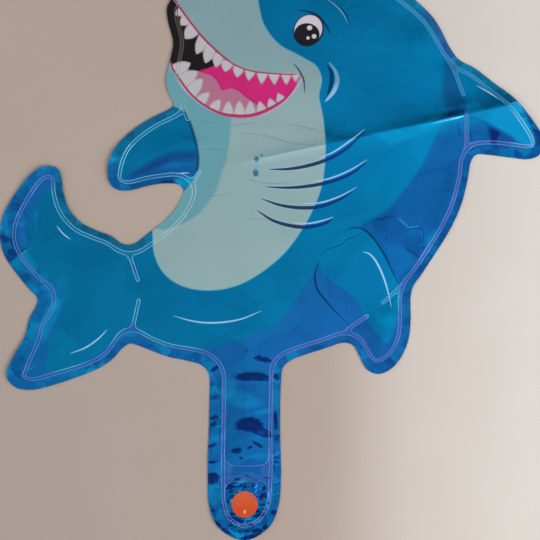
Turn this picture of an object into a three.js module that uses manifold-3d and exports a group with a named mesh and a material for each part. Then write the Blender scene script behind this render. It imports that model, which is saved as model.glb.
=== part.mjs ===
// A large foil balloon in the shape of a shark, lying flat and not yet filled.
// Two metallised films lie one on the other and are welded together along a line
// a little inside their common edge. Short weld bars set the fins off from the body
// and leave gaps for the gas between them. A neck at the bottom carries the valve,
// marked by a round label. Millimetres, +Z up, the back film on Z = 0.

import * as THREE from "three";
import { mergeVertices } from "three/addons/utils/BufferGeometryUtils.js";
import Module from "manifold-3d";

const wasm = await Module();
wasm.setup();

// Driving dimensions
const FILM = 0.8;            // thickness each film is given here
const WELD_GAP = 0.4;        // thickness of the welded layer between the films
const WELD_WIDTH = 4.5;      // width of the weld line
const CUT = 0.4;             // clearance where a film is divided at the foot of a fin
const OUTLINE_STEP = 4;      // spacing of the points along the outline curve
const OUTLINE_TOLERANCE = 0.35;  // how far a straight chord may leave that curve
const SHEET_STEP = 15;       // spacing of the grid that gives the front film its height
const PUFF_HEIGHT = 5.2;     // how far the slack front film stands up, far from a weld
const PUFF_REACH = 34;       // distance over which it rises from a weld
const FLAT_STRIP = 1.45 * SHEET_STEP;  // strip beside a weld where the films lie together
const NECK_END_TOP = -266;   // the gas chamber in the neck ends here, and its weld begins
const NECK_END_BOTTOM = -284;
const NECK_SIDES = [-75, 13];   // the neck's two edges
const NECK_ROOT = -150;         // the neck goes down from here
const LABEL_CENTRE = [-30.8, -310.7];
const LABEL_RADIUS = 15;
const LABEL_THICKNESS = 0.3;
const LABEL_SEGMENTS = 32;

const BACK_TOP = FILM;
const FRONT_BOTTOM = FILM + WELD_GAP;
const FRONT_TOP = FRONT_BOTTOM + FILM;
const BLOCK_BOTTOM = -5;     // the cutting blocks reach from below both films
const BLOCK_TOP = 40;        // to above them

// How the curves are drawn
const FOLD_PIECES = 8;          // straight pieces of a fold's curve
const SMOOTHING_ROUNDS = 3;     // how often a line inside the edge is evened
const OWN_INSET_SHARE = 0.93;   // a point nearer to the edge than this share of its inset is left out
const MERGE_DISTANCE = 1e-4;    // corners closer than this are one

const COLOURS = {
  front_film_body: 0x1a6f9a,
  front_film_tail: 0x1b5f98,
  front_film_far_flipper: 0x17688f,
  front_film_near_flipper: 0x1b5a98,
  front_film_dorsal_fin: 0x1a78b0,
  front_film_neck: 0x17548d,
  back: 0x1d5596,
  weld: 0x6f8fc4,
  label: 0xc84614,
};

// The outline, clockwise from the tip of the upper tail lobe. Each row is one point of
// the curve: x, y, and how far inside the edge the weld line begins there.
const OUTLINE = [
  // upper lobe of the tail
  [-255, 78, 10], [-245, 75, 9], [-241, 64, 8], [-239, 49, 9], [-233, 30, 9],
  [-220, 14, 8], [-201, 4, 7], [-183, -3, 7],
  // notch above the root of the tail, and the belly
  [-172, -11, 7], [-160, -12, 8], [-140, 2, 10], [-122, 16, 10], [-109, 31, 10], [-101, 51, 10],
  // far flipper
  [-108, 57, 9], [-125, 58, 7], [-143, 55, 7], [-163, 50, 7], [-178, 51, 9], [-186, 59, 10],
  [-188, 75, 12], [-183, 93, 12], [-173, 107, 10], [-156, 122, 9], [-135, 135, 8], [-118, 143, 8],
  // chin and open mouth
  [-112, 148, 9], [-117, 159, 10], [-121, 175, 10], [-116, 201, 8], [-113, 220, 8],
  [-119, 245, 8], [-120, 260, 8],
  // snout
  [-114, 275, 9], [-126, 290, 9], [-140, 313, 9], [-142, 332, 10], [-134, 345, 10], [-110, 351, 10],
  // top of the head and back
  [-48, 346, 9], [-4, 340, 9], [41, 332, 9], [83, 319, 9], [122, 299, 9], [182, 253, 9], [207, 211, 7],
  // dorsal fin
  [216, 200, 7], [234, 190, 7], [256, 173, 7], [279, 155, 8], [297, 134, 9], [309, 116, 10],
  [313, 103, 10], [308, 91, 11], [296, 86, 12], [272, 88, 13], [248, 91, 12], [235, 91, 10],
  // right side of the body
  [229, 83, 9], [226, 66, 8], [218, 34, 8], [205, 5, 8], [172, -47, 8], [163, -60, 9],
  // near flipper
  [160, -72, 10], [160, -98, 10], [157, -123, 10], [148, -143, 11], [136, -156, 13],
  [122, -161, 13], [110, -156, 12], [101, -140, 9],
  // body on the right of the neck
  [94, -128, 9], [83, -125, 9], [63, -131, 8], [21, -146, 9], [13, -154, 10],
  // neck with its round end
  [11, -169, 9], [10, -225, 9], [11, -281, 10], [8, -313, 10], [-3, -337, 12], [-31, -352, 14],
  [-60, -338, 14], [-71, -315, 15], [-73, -281, 15], [-71, -180, 14], [-72, -160, 14],
  // body on the left of the neck
  [-80, -151, 13], [-96, -146, 12], [-119, -141, 11], [-141, -133, 11], [-154, -128, 13],
  // lower lobe of the tail
  [-163, -126, 14], [-172, -132, 10], [-183, -144, 8], [-200, -155, 8], [-249, -173, 10],
  [-275, -179, 10], [-294, -176, 14], [-304, -163, 18], [-298, -144, 17], [-283, -117, 14],
  // end of the tail, with its notch
  [-278, -97, 14], [-270, -82, 16], [-269, -73, 17], [-276, -66, 15], [-304, -30, 14],
  [-311, -12, 14], [-312, 3, 14], [-308, 22, 14], [-286, 58, 12], [-272, 72, 10], [-264, 77, 10],
];

// The weld bars that set off a fin: name, then the two ends of the bar.
const WELD_BARS = [
  ["weld_bar_tail_upper", [-162, -27], [-154, -52]],
  ["weld_bar_tail_lower", [-153, -76], [-159, -109]],
  ["weld_bar_dorsal_upper", [209, 196], [220, 161]],
  ["weld_bar_dorsal_lower", [224, 138], [224, 101]],
  ["weld_bar_near_flipper_right", [145, -62], [127, -79]],
  ["weld_bar_near_flipper_left", [90, -108], [110, -94]],
  ["weld_bar_far_flipper_upper", [-99, 142], [-95, 132]],
  ["weld_bar_far_flipper_lower", [-84, 70], [-93, 48]],
];

// The folds that lie in the front film: start, middle and end of each fold's curve,
// its height (a valley is negative) and half its width.
const FOLDS = [
  { from: [-118, 62], by: [60, 92], to: [285, 150], height: -2.2, reach: 22 },
  { from: [-60, 20], by: [50, 66], to: [150, 110], height: 1.6, reach: 26 },
  { from: [60, -112], by: [62, -40], to: [140, 14], height: 1.8, reach: 24 },
  { from: [-290, 10], by: [-245, -40], to: [-262, -150], height: 1.6, reach: 22 },
  { from: [-200, -110], by: [-90, -96], to: [20, -118], height: 1.4, reach: 22 },
];

// Where a film is divided: the line across the foot of each fin, going outwards to a box
// round the fin, and the direction in which the body keeps clear of the fin.
const FINS = [
  { name: "tail", away: [1, 0],
    foot: [[-168, 4], [-165, -18], [-154, -52], [-153, -76], [-160, -112], [-158, -140]],
    round: [[-175, -200], [-330, -200], [-330, 100], [-200, 100]] },
  { name: "far_flipper", away: [1, 0.1],
    foot: [[-118, 152], [-104, 144], [-94, 130], [-85, 106], [-82, 82], [-86, 66], [-98, 50], [-114, 40]],
    round: [[-200, 40], [-200, 152]] },
  { name: "near_flipper", away: [-0.55, 0.83],
    foot: [[176, -52], [158, -62], [127, -80], [110, -93], [86, -112], [84, -140]],
    round: [[84, -180], [180, -180], [180, -60]] },
  { name: "dorsal_fin", away: [-1, 0],
    foot: [[200, 214], [212, 198], [221, 161], [224, 138], [224, 101], [236, 84]],
    round: [[330, 70], [330, 230]] },
  { name: "neck", away: [0, 1],
    foot: [[-90, -160], [30, -160]],
    round: [[30, -370], [-90, -370]] },
];

// How rough and how metallic each surface is
const FINISHES = {
  front: { roughness: 0.3, metalness: 0.6 },
  back: { roughness: 0.25, metalness: 0.9 },
  weld: { roughness: 0.3, metalness: 0.7 },
  label: { roughness: 0.5, metalness: 0 },
};

const material = (colour, finish) => new THREE.MeshStandardMaterial({ color: colour, ...finish });

// Shapes in the plane

const distance = (a, b) => Math.hypot(a[0] - b[0], a[1] - b[1]);

function distanceToSegment(p, a, b) {
  const ab = [b[0] - a[0], b[1] - a[1]];
  const along = ((p[0] - a[0]) * ab[0] + (p[1] - a[1]) * ab[1]) / (ab[0] ** 2 + ab[1] ** 2);
  const t = THREE.MathUtils.clamp(along, 0, 1);
  return distance(p, [a[0] + t * ab[0], a[1] + t * ab[1]]);
}

// Distance from p to a line of points, and the third value where the nearest piece starts.
function nearest(p, points, closed) {
  let best = Infinity;
  let value = 0;
  const last = closed ? points.length : points.length - 1;
  for (let i = 0; i < last; i++) {
    const a = points[i];
    const b = points[(i + 1) % points.length];
    const d = distanceToSegment(p, a, b);
    if (d < best) {
      best = d;
      value = a[2];
    }
  }
  return { distance: best, value };
}

// Keep only the points that a line needs to stay within the tolerance of its curve.
function thin(points, tolerance) {
  const kept = [points[0]];
  let start = 0;
  for (let end = 2; end < points.length; end++) {
    const between = points.slice(start + 1, end);
    if (between.some((p) => distanceToSegment(p, points[start], points[end]) > tolerance)) {
      start = end - 1;
      kept.push(points[start]);
    }
  }
  kept.push(points[points.length - 1]);
  return kept;
}

// The outline as a smooth closed curve through the rows of OUTLINE.
function outlineCurve() {
  const knots = OUTLINE.map(([x, y, inset]) => new THREE.Vector3(x, y, inset));
  const curve = new THREE.CatmullRomCurve3(knots, true, "centripetal");
  const steps = Math.round(curve.getLength() / OUTLINE_STEP);
  return curve.getSpacedPoints(steps).slice(0, -1).map((p) => [p.x, p.y, p.z]);
}

// The line that runs inside the outline, at the row's inset plus extra. A point that
// comes too near another stretch of the outline is left out, and the rest are evened.
function insideLine(points, extra) {
  const line = [];
  points.forEach((p, i) => {
    const a = points[(i + points.length - 1) % points.length];
    const b = points[(i + 1) % points.length];
    const length = distance(a, b);
    const inset = p[2] + extra;
    const inner = [p[0] + ((b[1] - a[1]) / length) * inset, p[1] - ((b[0] - a[0]) / length) * inset];
    if (nearest(inner, points, true).distance > OWN_INSET_SHARE * inset) line.push(inner);
  });
  const even = (a, b, c) => [(a[0] + 2 * b[0] + c[0]) / 4, (a[1] + 2 * b[1] + c[1]) / 4];
  let smooth = line;
  for (let round = 0; round < SMOOTHING_ROUNDS; round++) {
    const n = smooth.length;
    smooth = smooth.map((p, i) => even(smooth[(i + n - 1) % n], p, smooth[(i + 1) % n]));
  }
  return thin(smooth, OUTLINE_TOLERANCE);
}

const fine = outlineCurve();
const edge = thin(fine, OUTLINE_TOLERANCE);

// Height of the slack front film above the weld's level

// What one fold adds at p: its height, falling off to both sides as a bell curve.
function foldHeight(p, fold) {
  const curve = new THREE.QuadraticBezierCurve(
    new THREE.Vector2(...fold.from), new THREE.Vector2(...fold.by), new THREE.Vector2(...fold.to));
  const line = curve.getPoints(FOLD_PIECES).map((q) => [q.x, q.y, 0]);
  return fold.height * Math.exp(-((nearest(p, line, false).distance / fold.reach) ** 2));
}

// The film rises from the nearest weld towards its full height, and the folds rise with it.
function puff(p) {
  const rim = nearest(p, fine, true);
  const fromRim = rim.distance - rim.value - WELD_WIDTH;
  const fromBar = Math.min(...WELD_BARS.map(([, a, b]) => distanceToSegment(p, a, b))) - WELD_WIDTH / 2;
  const fromNeckEnd = p[1] < NECK_ROOT ? Math.max(0, p[1] - NECK_END_TOP) : Infinity;
  const free = Math.min(fromRim, fromBar, fromNeckEnd) - FLAT_STRIP;
  if (free <= 0) return 0;
  const rise = 1 - Math.exp(-free / PUFF_REACH);
  const folds = FOLDS.reduce((sum, fold) => sum + foldHeight(p, fold), 0);
  return Math.max(0, rise * (PUFF_HEIGHT + folds));
}

// Solids

function toSolid(geometry) {
  geometry.deleteAttribute("normal");
  geometry.deleteAttribute("uv");
  const merged = mergeVertices(geometry, MERGE_DISTANCE);
  return new wasm.Manifold(new wasm.Mesh({
    numProp: 3,
    vertProperties: Float32Array.from(merged.attributes.position.array),
    triVerts: Uint32Array.from(merged.index.array),
  }));
}

function toMesh(name, solid, finish) {
  const { vertProperties, triVerts } = solid.getMesh();
  const geometry = new THREE.BufferGeometry();
  geometry.setAttribute("position", new THREE.BufferAttribute(vertProperties, 3));
  geometry.setIndex(new THREE.BufferAttribute(triVerts, 1));
  geometry.computeVertexNormals();
  return named(name, geometry, finish);
}

function named(name, geometry, finish) {
  const mesh = new THREE.Mesh(geometry, finish);
  mesh.name = name;
  return mesh;
}

// A flat plate with the given outline, from one level to another.
function plate(points, bottom, top) {
  const outlineShape = new THREE.Shape(points.map(([x, y]) => new THREE.Vector2(x, y)));
  const geometry = new THREE.ExtrudeGeometry(outlineShape, { depth: top - bottom, bevelEnabled: false });
  geometry.translate(0, 0, bottom);
  return geometry;
}

// A rectangular sheet over the whole outline: its upper and lower faces both follow puff(),
// one film apart, and walls close it all round.
function slackSheet() {
  const xs = fine.map((p) => p[0]);
  const ys = fine.map((p) => p[1]);
  const left = Math.min(...xs) - SHEET_STEP;
  const low = Math.min(...ys) - SHEET_STEP;
  const columns = Math.ceil((Math.max(...xs) + SHEET_STEP - left) / SHEET_STEP);
  const rows = Math.ceil((Math.max(...ys) + SHEET_STEP - low) / SHEET_STEP);
  const sheet = new THREE.BoxGeometry(1, 1, 1, columns, rows, 1);
  const position = sheet.attributes.position;
  for (let i = 0; i < position.count; i++) {
    const x = left + (position.getX(i) + 0.5) * columns * SHEET_STEP;
    const y = low + (position.getY(i) + 0.5) * rows * SHEET_STEP;
    const height = isInside([x, y]) ? puff([x, y]) : 0;
    const level = position.getZ(i) > 0 ? FRONT_TOP : FRONT_BOTTOM;
    position.setXYZ(i, x, y, level + height);
  }
  return toSolid(sheet);
}

function isInside(p) {
  let inside = false;
  edge.forEach((a, i) => {
    const b = edge[(i + 1) % edge.length];
    const crosses = a[1] > p[1] !== b[1] > p[1];
    if (crosses && p[0] < a[0] + ((p[1] - a[1]) / (b[1] - a[1])) * (b[0] - a[0])) inside = !inside;
  });
  return inside;
}

// The block of space that holds one fin. Moved towards the body by the clearance, it
// is what the body's film is cut back by.
function finBlock(fin, shift) {
  const foot = fin.foot.map(([x, y]) => [x + fin.away[0] * shift, y + fin.away[1] * shift]);
  return toSolid(plate([...foot, ...fin.round], BLOCK_BOTTOM, BLOCK_TOP));
}

function addFilm(group, prefix, film, finishOf) {
  let body = film;
  for (const fin of FINS) {
    const name = `${prefix}_${fin.name}`;
    group.add(toMesh(name, film.intersect(finBlock(fin, 0)), finishOf(name)));
    body = body.subtract(finBlock(fin, CUT));
  }
  const name = `${prefix}_body`;
  group.add(toMesh(name, body, finishOf(name)));
}

// Everything that lies further inside the edge than the weld line and extra.
const chamber = (extra) => toSolid(plate(insideLine(fine, WELD_WIDTH + extra), 0, FRONT_TOP));

const weldMaterial = () => material(COLOURS.weld, FINISHES.weld);

// The weld line all round, one weld's width across.
function perimeterWeld() {
  const outer = toSolid(plate(insideLine(fine, 0), BACK_TOP, FRONT_BOTTOM));
  return toMesh("perimeter_weld", outer.subtract(chamber(0)), weldMaterial());
}

// The short welds at the feet of the fins, each reaching to the weld line or near it.
function addWeldBars(group) {
  const inside = chamber(CUT);
  for (const [name, a, b] of WELD_BARS) {
    const length = distance(a, b);
    const side = [(b[1] - a[1]) / length * WELD_WIDTH / 2, (a[0] - b[0]) / length * WELD_WIDTH / 2];
    const corners = [
      [a[0] + side[0], a[1] + side[1]], [b[0] + side[0], b[1] + side[1]],
      [b[0] - side[0], b[1] - side[1]], [a[0] - side[0], a[1] - side[1]],
    ];
    const bar = toSolid(plate(corners, BACK_TOP, FRONT_BOTTOM)).intersect(inside);
    group.add(toMesh(name, bar, weldMaterial()));
  }
}

// The weld across the neck, between the gas chamber and the pocket of the valve.
function neckWeld() {
  const [left, right] = NECK_SIDES;
  const corners = [
    [left, NECK_END_TOP], [right, NECK_END_TOP], [right, NECK_END_BOTTOM], [left, NECK_END_BOTTOM]];
  const band = toSolid(plate(corners, BACK_TOP, FRONT_BOTTOM)).intersect(chamber(CUT));
  return toMesh("neck_cross_weld", band, weldMaterial());
}

function valveLabel() {
  const disc = new THREE.CylinderGeometry(LABEL_RADIUS, LABEL_RADIUS, LABEL_THICKNESS, LABEL_SEGMENTS);
  disc.rotateX(Math.PI / 2);
  disc.translate(LABEL_CENTRE[0], LABEL_CENTRE[1], FRONT_TOP + LABEL_THICKNESS / 2);
  return named("valve_label", disc, material(COLOURS.label, FINISHES.label));
}

const balloon = new THREE.Group();
const backFilm = toSolid(plate(edge, 0, BACK_TOP));
addFilm(balloon, "back_film", backFilm, () => material(COLOURS.back, FINISHES.back));
const frontFilm = slackSheet().intersect(toSolid(plate(edge, 0, BLOCK_TOP)));
addFilm(balloon, "front_film", frontFilm, (name) => material(COLOURS[name], FINISHES.front));
balloon.add(perimeterWeld());
addWeldBars(balloon);
balloon.add(neckWeld());
balloon.add(valveLabel());

export default balloon;
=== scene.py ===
"""A large foil balloon in the shape of a shark, lying flat and unfilled on a pale floor.

Two metallised films lie one on the other. The front film carries the print of the shark;
its surface is one height field over the balloon's outline, with slack, folds and crinkles.
Tables are in millimetres, in the frame's own X and Y; meshes are in metres.
"""

import bpy
import numpy as np
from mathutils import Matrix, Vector


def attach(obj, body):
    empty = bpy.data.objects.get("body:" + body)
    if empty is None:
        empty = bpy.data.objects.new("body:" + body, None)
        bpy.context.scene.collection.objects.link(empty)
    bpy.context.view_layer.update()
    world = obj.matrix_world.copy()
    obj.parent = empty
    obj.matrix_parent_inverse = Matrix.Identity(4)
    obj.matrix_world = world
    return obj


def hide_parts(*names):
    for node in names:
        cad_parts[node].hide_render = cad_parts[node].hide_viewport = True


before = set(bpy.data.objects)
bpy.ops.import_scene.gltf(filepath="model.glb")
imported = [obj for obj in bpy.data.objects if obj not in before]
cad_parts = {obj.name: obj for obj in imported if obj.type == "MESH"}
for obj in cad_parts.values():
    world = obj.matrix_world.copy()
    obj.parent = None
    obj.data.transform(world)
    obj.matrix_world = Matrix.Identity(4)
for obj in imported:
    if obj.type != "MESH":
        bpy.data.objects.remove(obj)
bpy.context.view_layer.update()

MM = 0.001

# The films and their welds, in millimetres
FILM = 0.25  # thickness of a film, with room for it to catch the light at its edge
FILM_GAP = 0.02  # between the films where they are pressed together
BACK_INSET = 0.4  # how far the back film's cut edge stays inside the front film's
WELD_WIDTH = 4.5  # width of the weld line and of the weld bars
HALF_WELD = WELD_WIDTH / 2
BAR_CORNER = 5.0  # roundness of the corners where a bar meets the weld line
LINE_HALF_WIDTH = 0.55  # half width of the pressed line along a weld's edge
LINE_HEIGHT = 0.22
LINE_FOOT = 0.2  # how deep the line's feet are under the film's face
ARCH_POINTS = 5  # points of the arch that is a line's section

# The neck, with the gas chamber above and the valve's pocket at its end
NECK_TOP = -160.0  # the neck starts here and goes down
NECK_BLEND = 10.0  # what is made for the neck begins this far above it
NECK_LEFT, NECK_RIGHT = -76.0, 14.0
CHAMBER_LEFT, CHAMBER_RIGHT = -54.0, -3.0
CHAMBER_END = -266.0  # end of the gas chamber
POCKET_TOP = -284.0  # top of the pocket, under the weld across the neck
POCKET_SLACK = 0.6  # the film there counts as no further than this from a weld
LABEL_CENTRE = (-30.8, -310.7)
LABEL_RADIUS = 15.0
LABEL_THICKNESS = 0.3
LABEL_SINK = 0.1  # how far its underside is pressed into the film
LABEL_RINGS, LABEL_SPOKES = 14, 72

# The slack of the films
PUFF_HEIGHT = 4.4  # how far the front film stands up, far from a weld
PUFF_REACH = 52.0  # distance over which it rises from a weld
LOOSE_REACH = 14.0  # distance from a weld over which facets and waves grow
FOLD_FADE = -12.0, 10.0  # how far inside the weld's outer side a fold begins, and is whole
RIM_REACH = 22.0  # distance over which the rim's lift and wave fade inwards
INNER_LIFT = 0.35  # share of the lift that is left far from the rim
BACK_LIFT = 0.25  # share of the lift that the slack back film keeps
BACK_RISE = 0.55  # middle height of the back film's facets
BACK_MOST = 0.9  # the most that they stand up
LABEL_CALM = 5.0  # dents and facets begin over this distance round the label
NECK_START = 12.0  # and over this distance down from the top of the neck
RIM_START = 2.0  # and over this distance in from the edge

# Waves: their length, height and seed
SLACK_WAVE = 90, 0.5, 31
RIM_WAVE = 46, 0.9, 5

# Flat facets: their pitch, their height on plain film, how much more it is where the film is
# crumpled most, and their seed
FRONT_FACETS = [(34, 0.144, 0.54, 11), (15, 0.0224, 0.224, 23)]
BACK_FACETS = [(30, 0.55, 0, 57), (13, 0.3, 0, 61)]
NECK_FACETS = [(9, 0.35, 0, 41)]
NECK_STRETCH = 2.0  # the neck's facets are this many times as wide

# Waves are sines of random direction: how many, the least and greatest length as shares of
# the one asked for, and the gain on their mean
SINES, SINE_LENGTHS, SINE_GAIN = 9, (0.7, 1.35), 2.2

# Facets lie on a lattice of so many random heights each way. Waves shift it by this share of
# its pitch, and are this many pitches long.
LATTICE, LATTICE_SHIFT, LATTICE_WAVE = 256, 0.5, 4.2

# Nets and paths
PITCH = 2.5  # grid pitch of the front film
FINE_PITCH = 1.7  # the same on the crinkled neck and at the mouth
MOUTH_LEFT, MOUTH_RIGHT = -124.0, 38.0
MOUTH_BOTTOM, MOUTH_TOP = 132.0, 262.0
BACK_PITCH = 3.2  # grid pitch of the back film
SNAP = 0.3  # a grid point nearer to the edge than this share of the pitch moves onto it
SHARP_ANGLE = 55  # edges that bend by more degrees than this are shaded sharp
EDGE_STEP = 3.0  # spacing of the edge's points
OWN_SHARE = 0.93  # a moved point is kept where this share of its way in is left to every edge
LINE_ROUNDS = 10  # smoothing rounds of a weld line
OUTER_STEP, INNER_STEP = 2.0, 1.5  # spacing of the points on the weld's outer and inner line
BAR_START = 3.0  # how far from its root the line along a bar begins
SIDE_POINTS, CAP_POINTS = 12, 7  # points along a bar's side, and round its tip
EDGE_POINTS, REGION_POINTS, LINE_POINTS = 16, 6, 8  # points of a curve for each of its rows
FOLD_POINTS = 25  # points of a fold's curve
FOLD_GROWN = 0.7  # where along its curve a fold is at its full height
BATCH = 4000  # points measured at once

# How the weld's inner line is drawn onto its place: rounds, the step at which the slope is
# read, the share of the way that a point goes, and the least square of the slope that counts
FIT_ROUNDS, FIT_PROBE, FIT_SHARE, FIT_SLOPE = 12, 0.2, 0.6, 0.3

# How a brush stroke's half width falls away past its ends and far from its curve
STROKE_REACH = 4.0  # distance from the curve at which the fall begins, and its length
STROKE_FALL = 3.0  # fall for each millimetre from there on
END_FALL = 1.5  # fall for each millimetre past an end
STROKE_FAR = 6.0  # larger distances are stored as this one
END_SHARE = 0.001  # a foot within this share of the curve's length is at its end
EVEN_END = -0.02, 0.1  # an even stroke grows to its width over these shares of its length
POINTED_POWER = 0.6  # the power of a pointed stroke's sine
TOOTH_ROOT = 0.35  # share of a tooth's height that is behind the gum's line
TOOTH_TOP = 1.4  # past its tip, a tooth's height counts to this share
TOOTH_SLOPE = 0.85  # across a tooth's slanting side the distance is this much less
LIP_OVERLAP = 0.5  # how far a tooth reaches over the mouth's edge

# Where a patch and a crushed place begin and are full, in shares of their oval
PATCH_RIM = 1.35, 0.65
CRUSHED_RIM = 1.1, 0.8

# Cells of the crinkled foil, for its relief and painted reflections: how many in a metre, and their stretch
CRUSH_CELLS = 190, (0.7, 1.5, 0)
RIM_CELLS = 95, (1.0, 1.2, 0)
WIDE_CELLS = 24, (1.0, 1.4, 0)

# The foil's metallic share, roughness and mirroring, under clear ink and under the dense inks
FOIL_METAL, DENSE_METAL, WELD_METAL = 0.92, 0.12, 0.6
FOIL_ROUGH, DENSE_ROUGH = 0.20, 0.42
FOIL_SPECULAR, PRINT_SPECULAR = 0.3, 0.18

# Relief in the shading: its depth in metres, and its strength
CREASE_RELIEF, GRAIN_RELIEF = (0.0016, 0.25), (0.0004, 0.2)
CELL_RELIEF, WELD_RELIEF = (0.0009, 0.7), (0.0003, 0.35)
FOLD_RELIEF, LINE_RELIEF = (0.0016, 1.0), (0.0004, 0.6)

# The camera and the floor
FRAME_CENTRE = (-1.7, -41.4)  # what the photograph's middle shows
FRAME_WIDTH = 621.0  # how much of the balloon's plane the photograph's width holds
CAMERA_HEIGHT = 1.5  # metres
SENSOR_WIDTH = 36.0  # of the camera; any number gives the same picture
FLOOR_HALF = 2.5  # metres from the middle of the floor to its side
FLOOR_DROP = 0.0004  # metres from the balloon's lowest points down to the floor

# Square lights: name, place in metres, side, power, tint
LIGHTS = [
    ("key_from_the_right", (1.5, -0.9, 1.6), 1.4, 26, (1.0, 0.97, 0.93)),
    ("fill_from_the_left", (-1.6, 0.6, 1.7), 1.6, 7, (0.93, 0.96, 1.0)),
]

# The room's brightness along each axis of the direction: where from -1 to 1, and level
ROOM_STRENGTH = 1.38
ROOM = {
    "X": [(-1.0, 0.55), (-0.3, 0.74), (0.0, 0.82), (0.3, 0.97), (1.0, 1.0)],
    "Y": [(-1.0, 0.6), (-0.35, 0.98), (-0.05, 0.84), (0.17, 0.80), (0.34, 0.52), (0.52, 0.18),
          (1.0, 0.12)],
    "Z": [(-1.0, 0.5), (0.0, 0.55), (0.6, 0.85), (1.0, 1.0)],
}

# The outline, clockwise from the tip of the upper tail lobe: x, y, and how far inside the
# edge the weld line begins.
OUTLINE = [
    # upper lobe of the tail
    (-255, 78, 10), (-245, 75, 9), (-241, 64, 8), (-239, 49, 9), (-233, 30, 9),
    (-220, 14, 8), (-201, 4, 7), (-183, -3, 7),
    # notch above the root of the tail, and the belly
    (-172, -11, 7), (-160, -12, 8), (-140, 2, 10), (-122, 16, 10), (-109, 31, 10), (-101, 51, 10),
    # far flipper
    (-108, 57, 9), (-125, 58, 7), (-143, 55, 7), (-163, 50, 7), (-178, 51, 9), (-186, 59, 10),
    (-188, 75, 12), (-183, 93, 12), (-173, 107, 10), (-156, 122, 9), (-135, 135, 8), (-118, 143, 8),
    # chin and open mouth
    (-112, 148, 9), (-117, 159, 10), (-121, 175, 10), (-116, 201, 8), (-113, 220, 8),
    (-119, 245, 8), (-120, 260, 8),
    # snout
    (-114, 275, 9), (-126, 290, 9), (-140, 313, 9), (-142, 332, 10), (-134, 345, 10), (-110, 351, 10),
    # top of the head and back
    (-48, 346, 9), (-4, 340, 9), (41, 332, 9), (83, 319, 9), (122, 299, 9), (182, 253, 9), (207, 211, 7),
    # dorsal fin
    (216, 200, 7), (234, 190, 7), (256, 173, 7), (279, 155, 8), (297, 134, 9), (309, 116, 10),
    (313, 103, 10), (308, 91, 11), (296, 86, 12), (272, 88, 13), (248, 91, 12), (235, 91, 10),
    # right side of the body
    (229, 83, 9), (226, 66, 8), (218, 34, 8), (205, 5, 8), (172, -47, 8), (163, -60, 9),
    # near flipper
    (160, -72, 10), (160, -98, 10), (157, -123, 10), (148, -143, 11), (136, -156, 13),
    (122, -161, 13), (110, -156, 12), (101, -140, 9),
    # body on the right of the neck
    (94, -128, 9), (83, -125, 9), (63, -131, 8), (21, -146, 9), (13, -154, 10),
    # neck with its round end
    (11, -169, 9), (10, -225, 9), (11, -281, 10), (8, -313, 10), (-3, -337, 12), (-31, -352, 14),
    (-60, -338, 14), (-71, -315, 15), (-73, -281, 15), (-71, -180, 14), (-72, -160, 14),
    # body on the left of the neck
    (-80, -151, 13), (-96, -146, 12), (-119, -141, 11), (-141, -133, 11), (-154, -128, 13),
    # lower lobe of the tail
    (-163, -126, 14), (-172, -132, 10), (-183, -144, 8), (-200, -155, 8), (-249, -173, 10),
    (-275, -179, 10), (-294, -176, 14), (-304, -163, 18), (-298, -144, 17), (-283, -117, 14),
    # end of the tail, with its notch
    (-278, -97, 14), (-270, -82, 16), (-269, -73, 17), (-276, -66, 15), (-304, -30, 14),
    (-311, -12, 14), (-312, 3, 14), (-308, 22, 14), (-286, 58, 12), (-272, 72, 10), (-264, 77, 10),
]

# The rounded end of the neck's gas chamber, and the rounded top of the valve's pocket
CHAMBER_CURVE = [(-54, -246), (-54, -257), (-50.5, -263.5), (-43, -266), (-28, -266.5),
                 (-14, -266), (-6.5, -263.5), (-3.3, -257), (-3.3, -246)]
POCKET_CURVE = [(-54, -304), (-54, -293), (-50.5, -286.5), (-43, -284.3), (-28, -284),
                (-14, -284.3), (-6.5, -286.5), (-3.3, -293), (-3.3, -304)]

# The weld bars at the feet of the fins: name, and the bar's two ends
WELD_BARS = [
    ("weld_bar_tail_upper", (-164, -22), (-153.5, -53)),
    ("weld_bar_tail_lower", (-152.5, -76), (-160, -110)),
    ("weld_bar_dorsal_upper", (206.5, 198), (220.5, 160)),
    ("weld_bar_dorsal_lower", (224, 138), (224, 98)),
    ("weld_bar_near_flipper_right", (149, -60), (128, -79)),
    ("weld_bar_near_flipper_left", (88, -109), (110, -94)),
    ("weld_bar_far_flipper_upper", (-101, 143), (-96, 132)),
    ("weld_bar_far_flipper_lower", (-83, 71), (-91, 60)),
]

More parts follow.
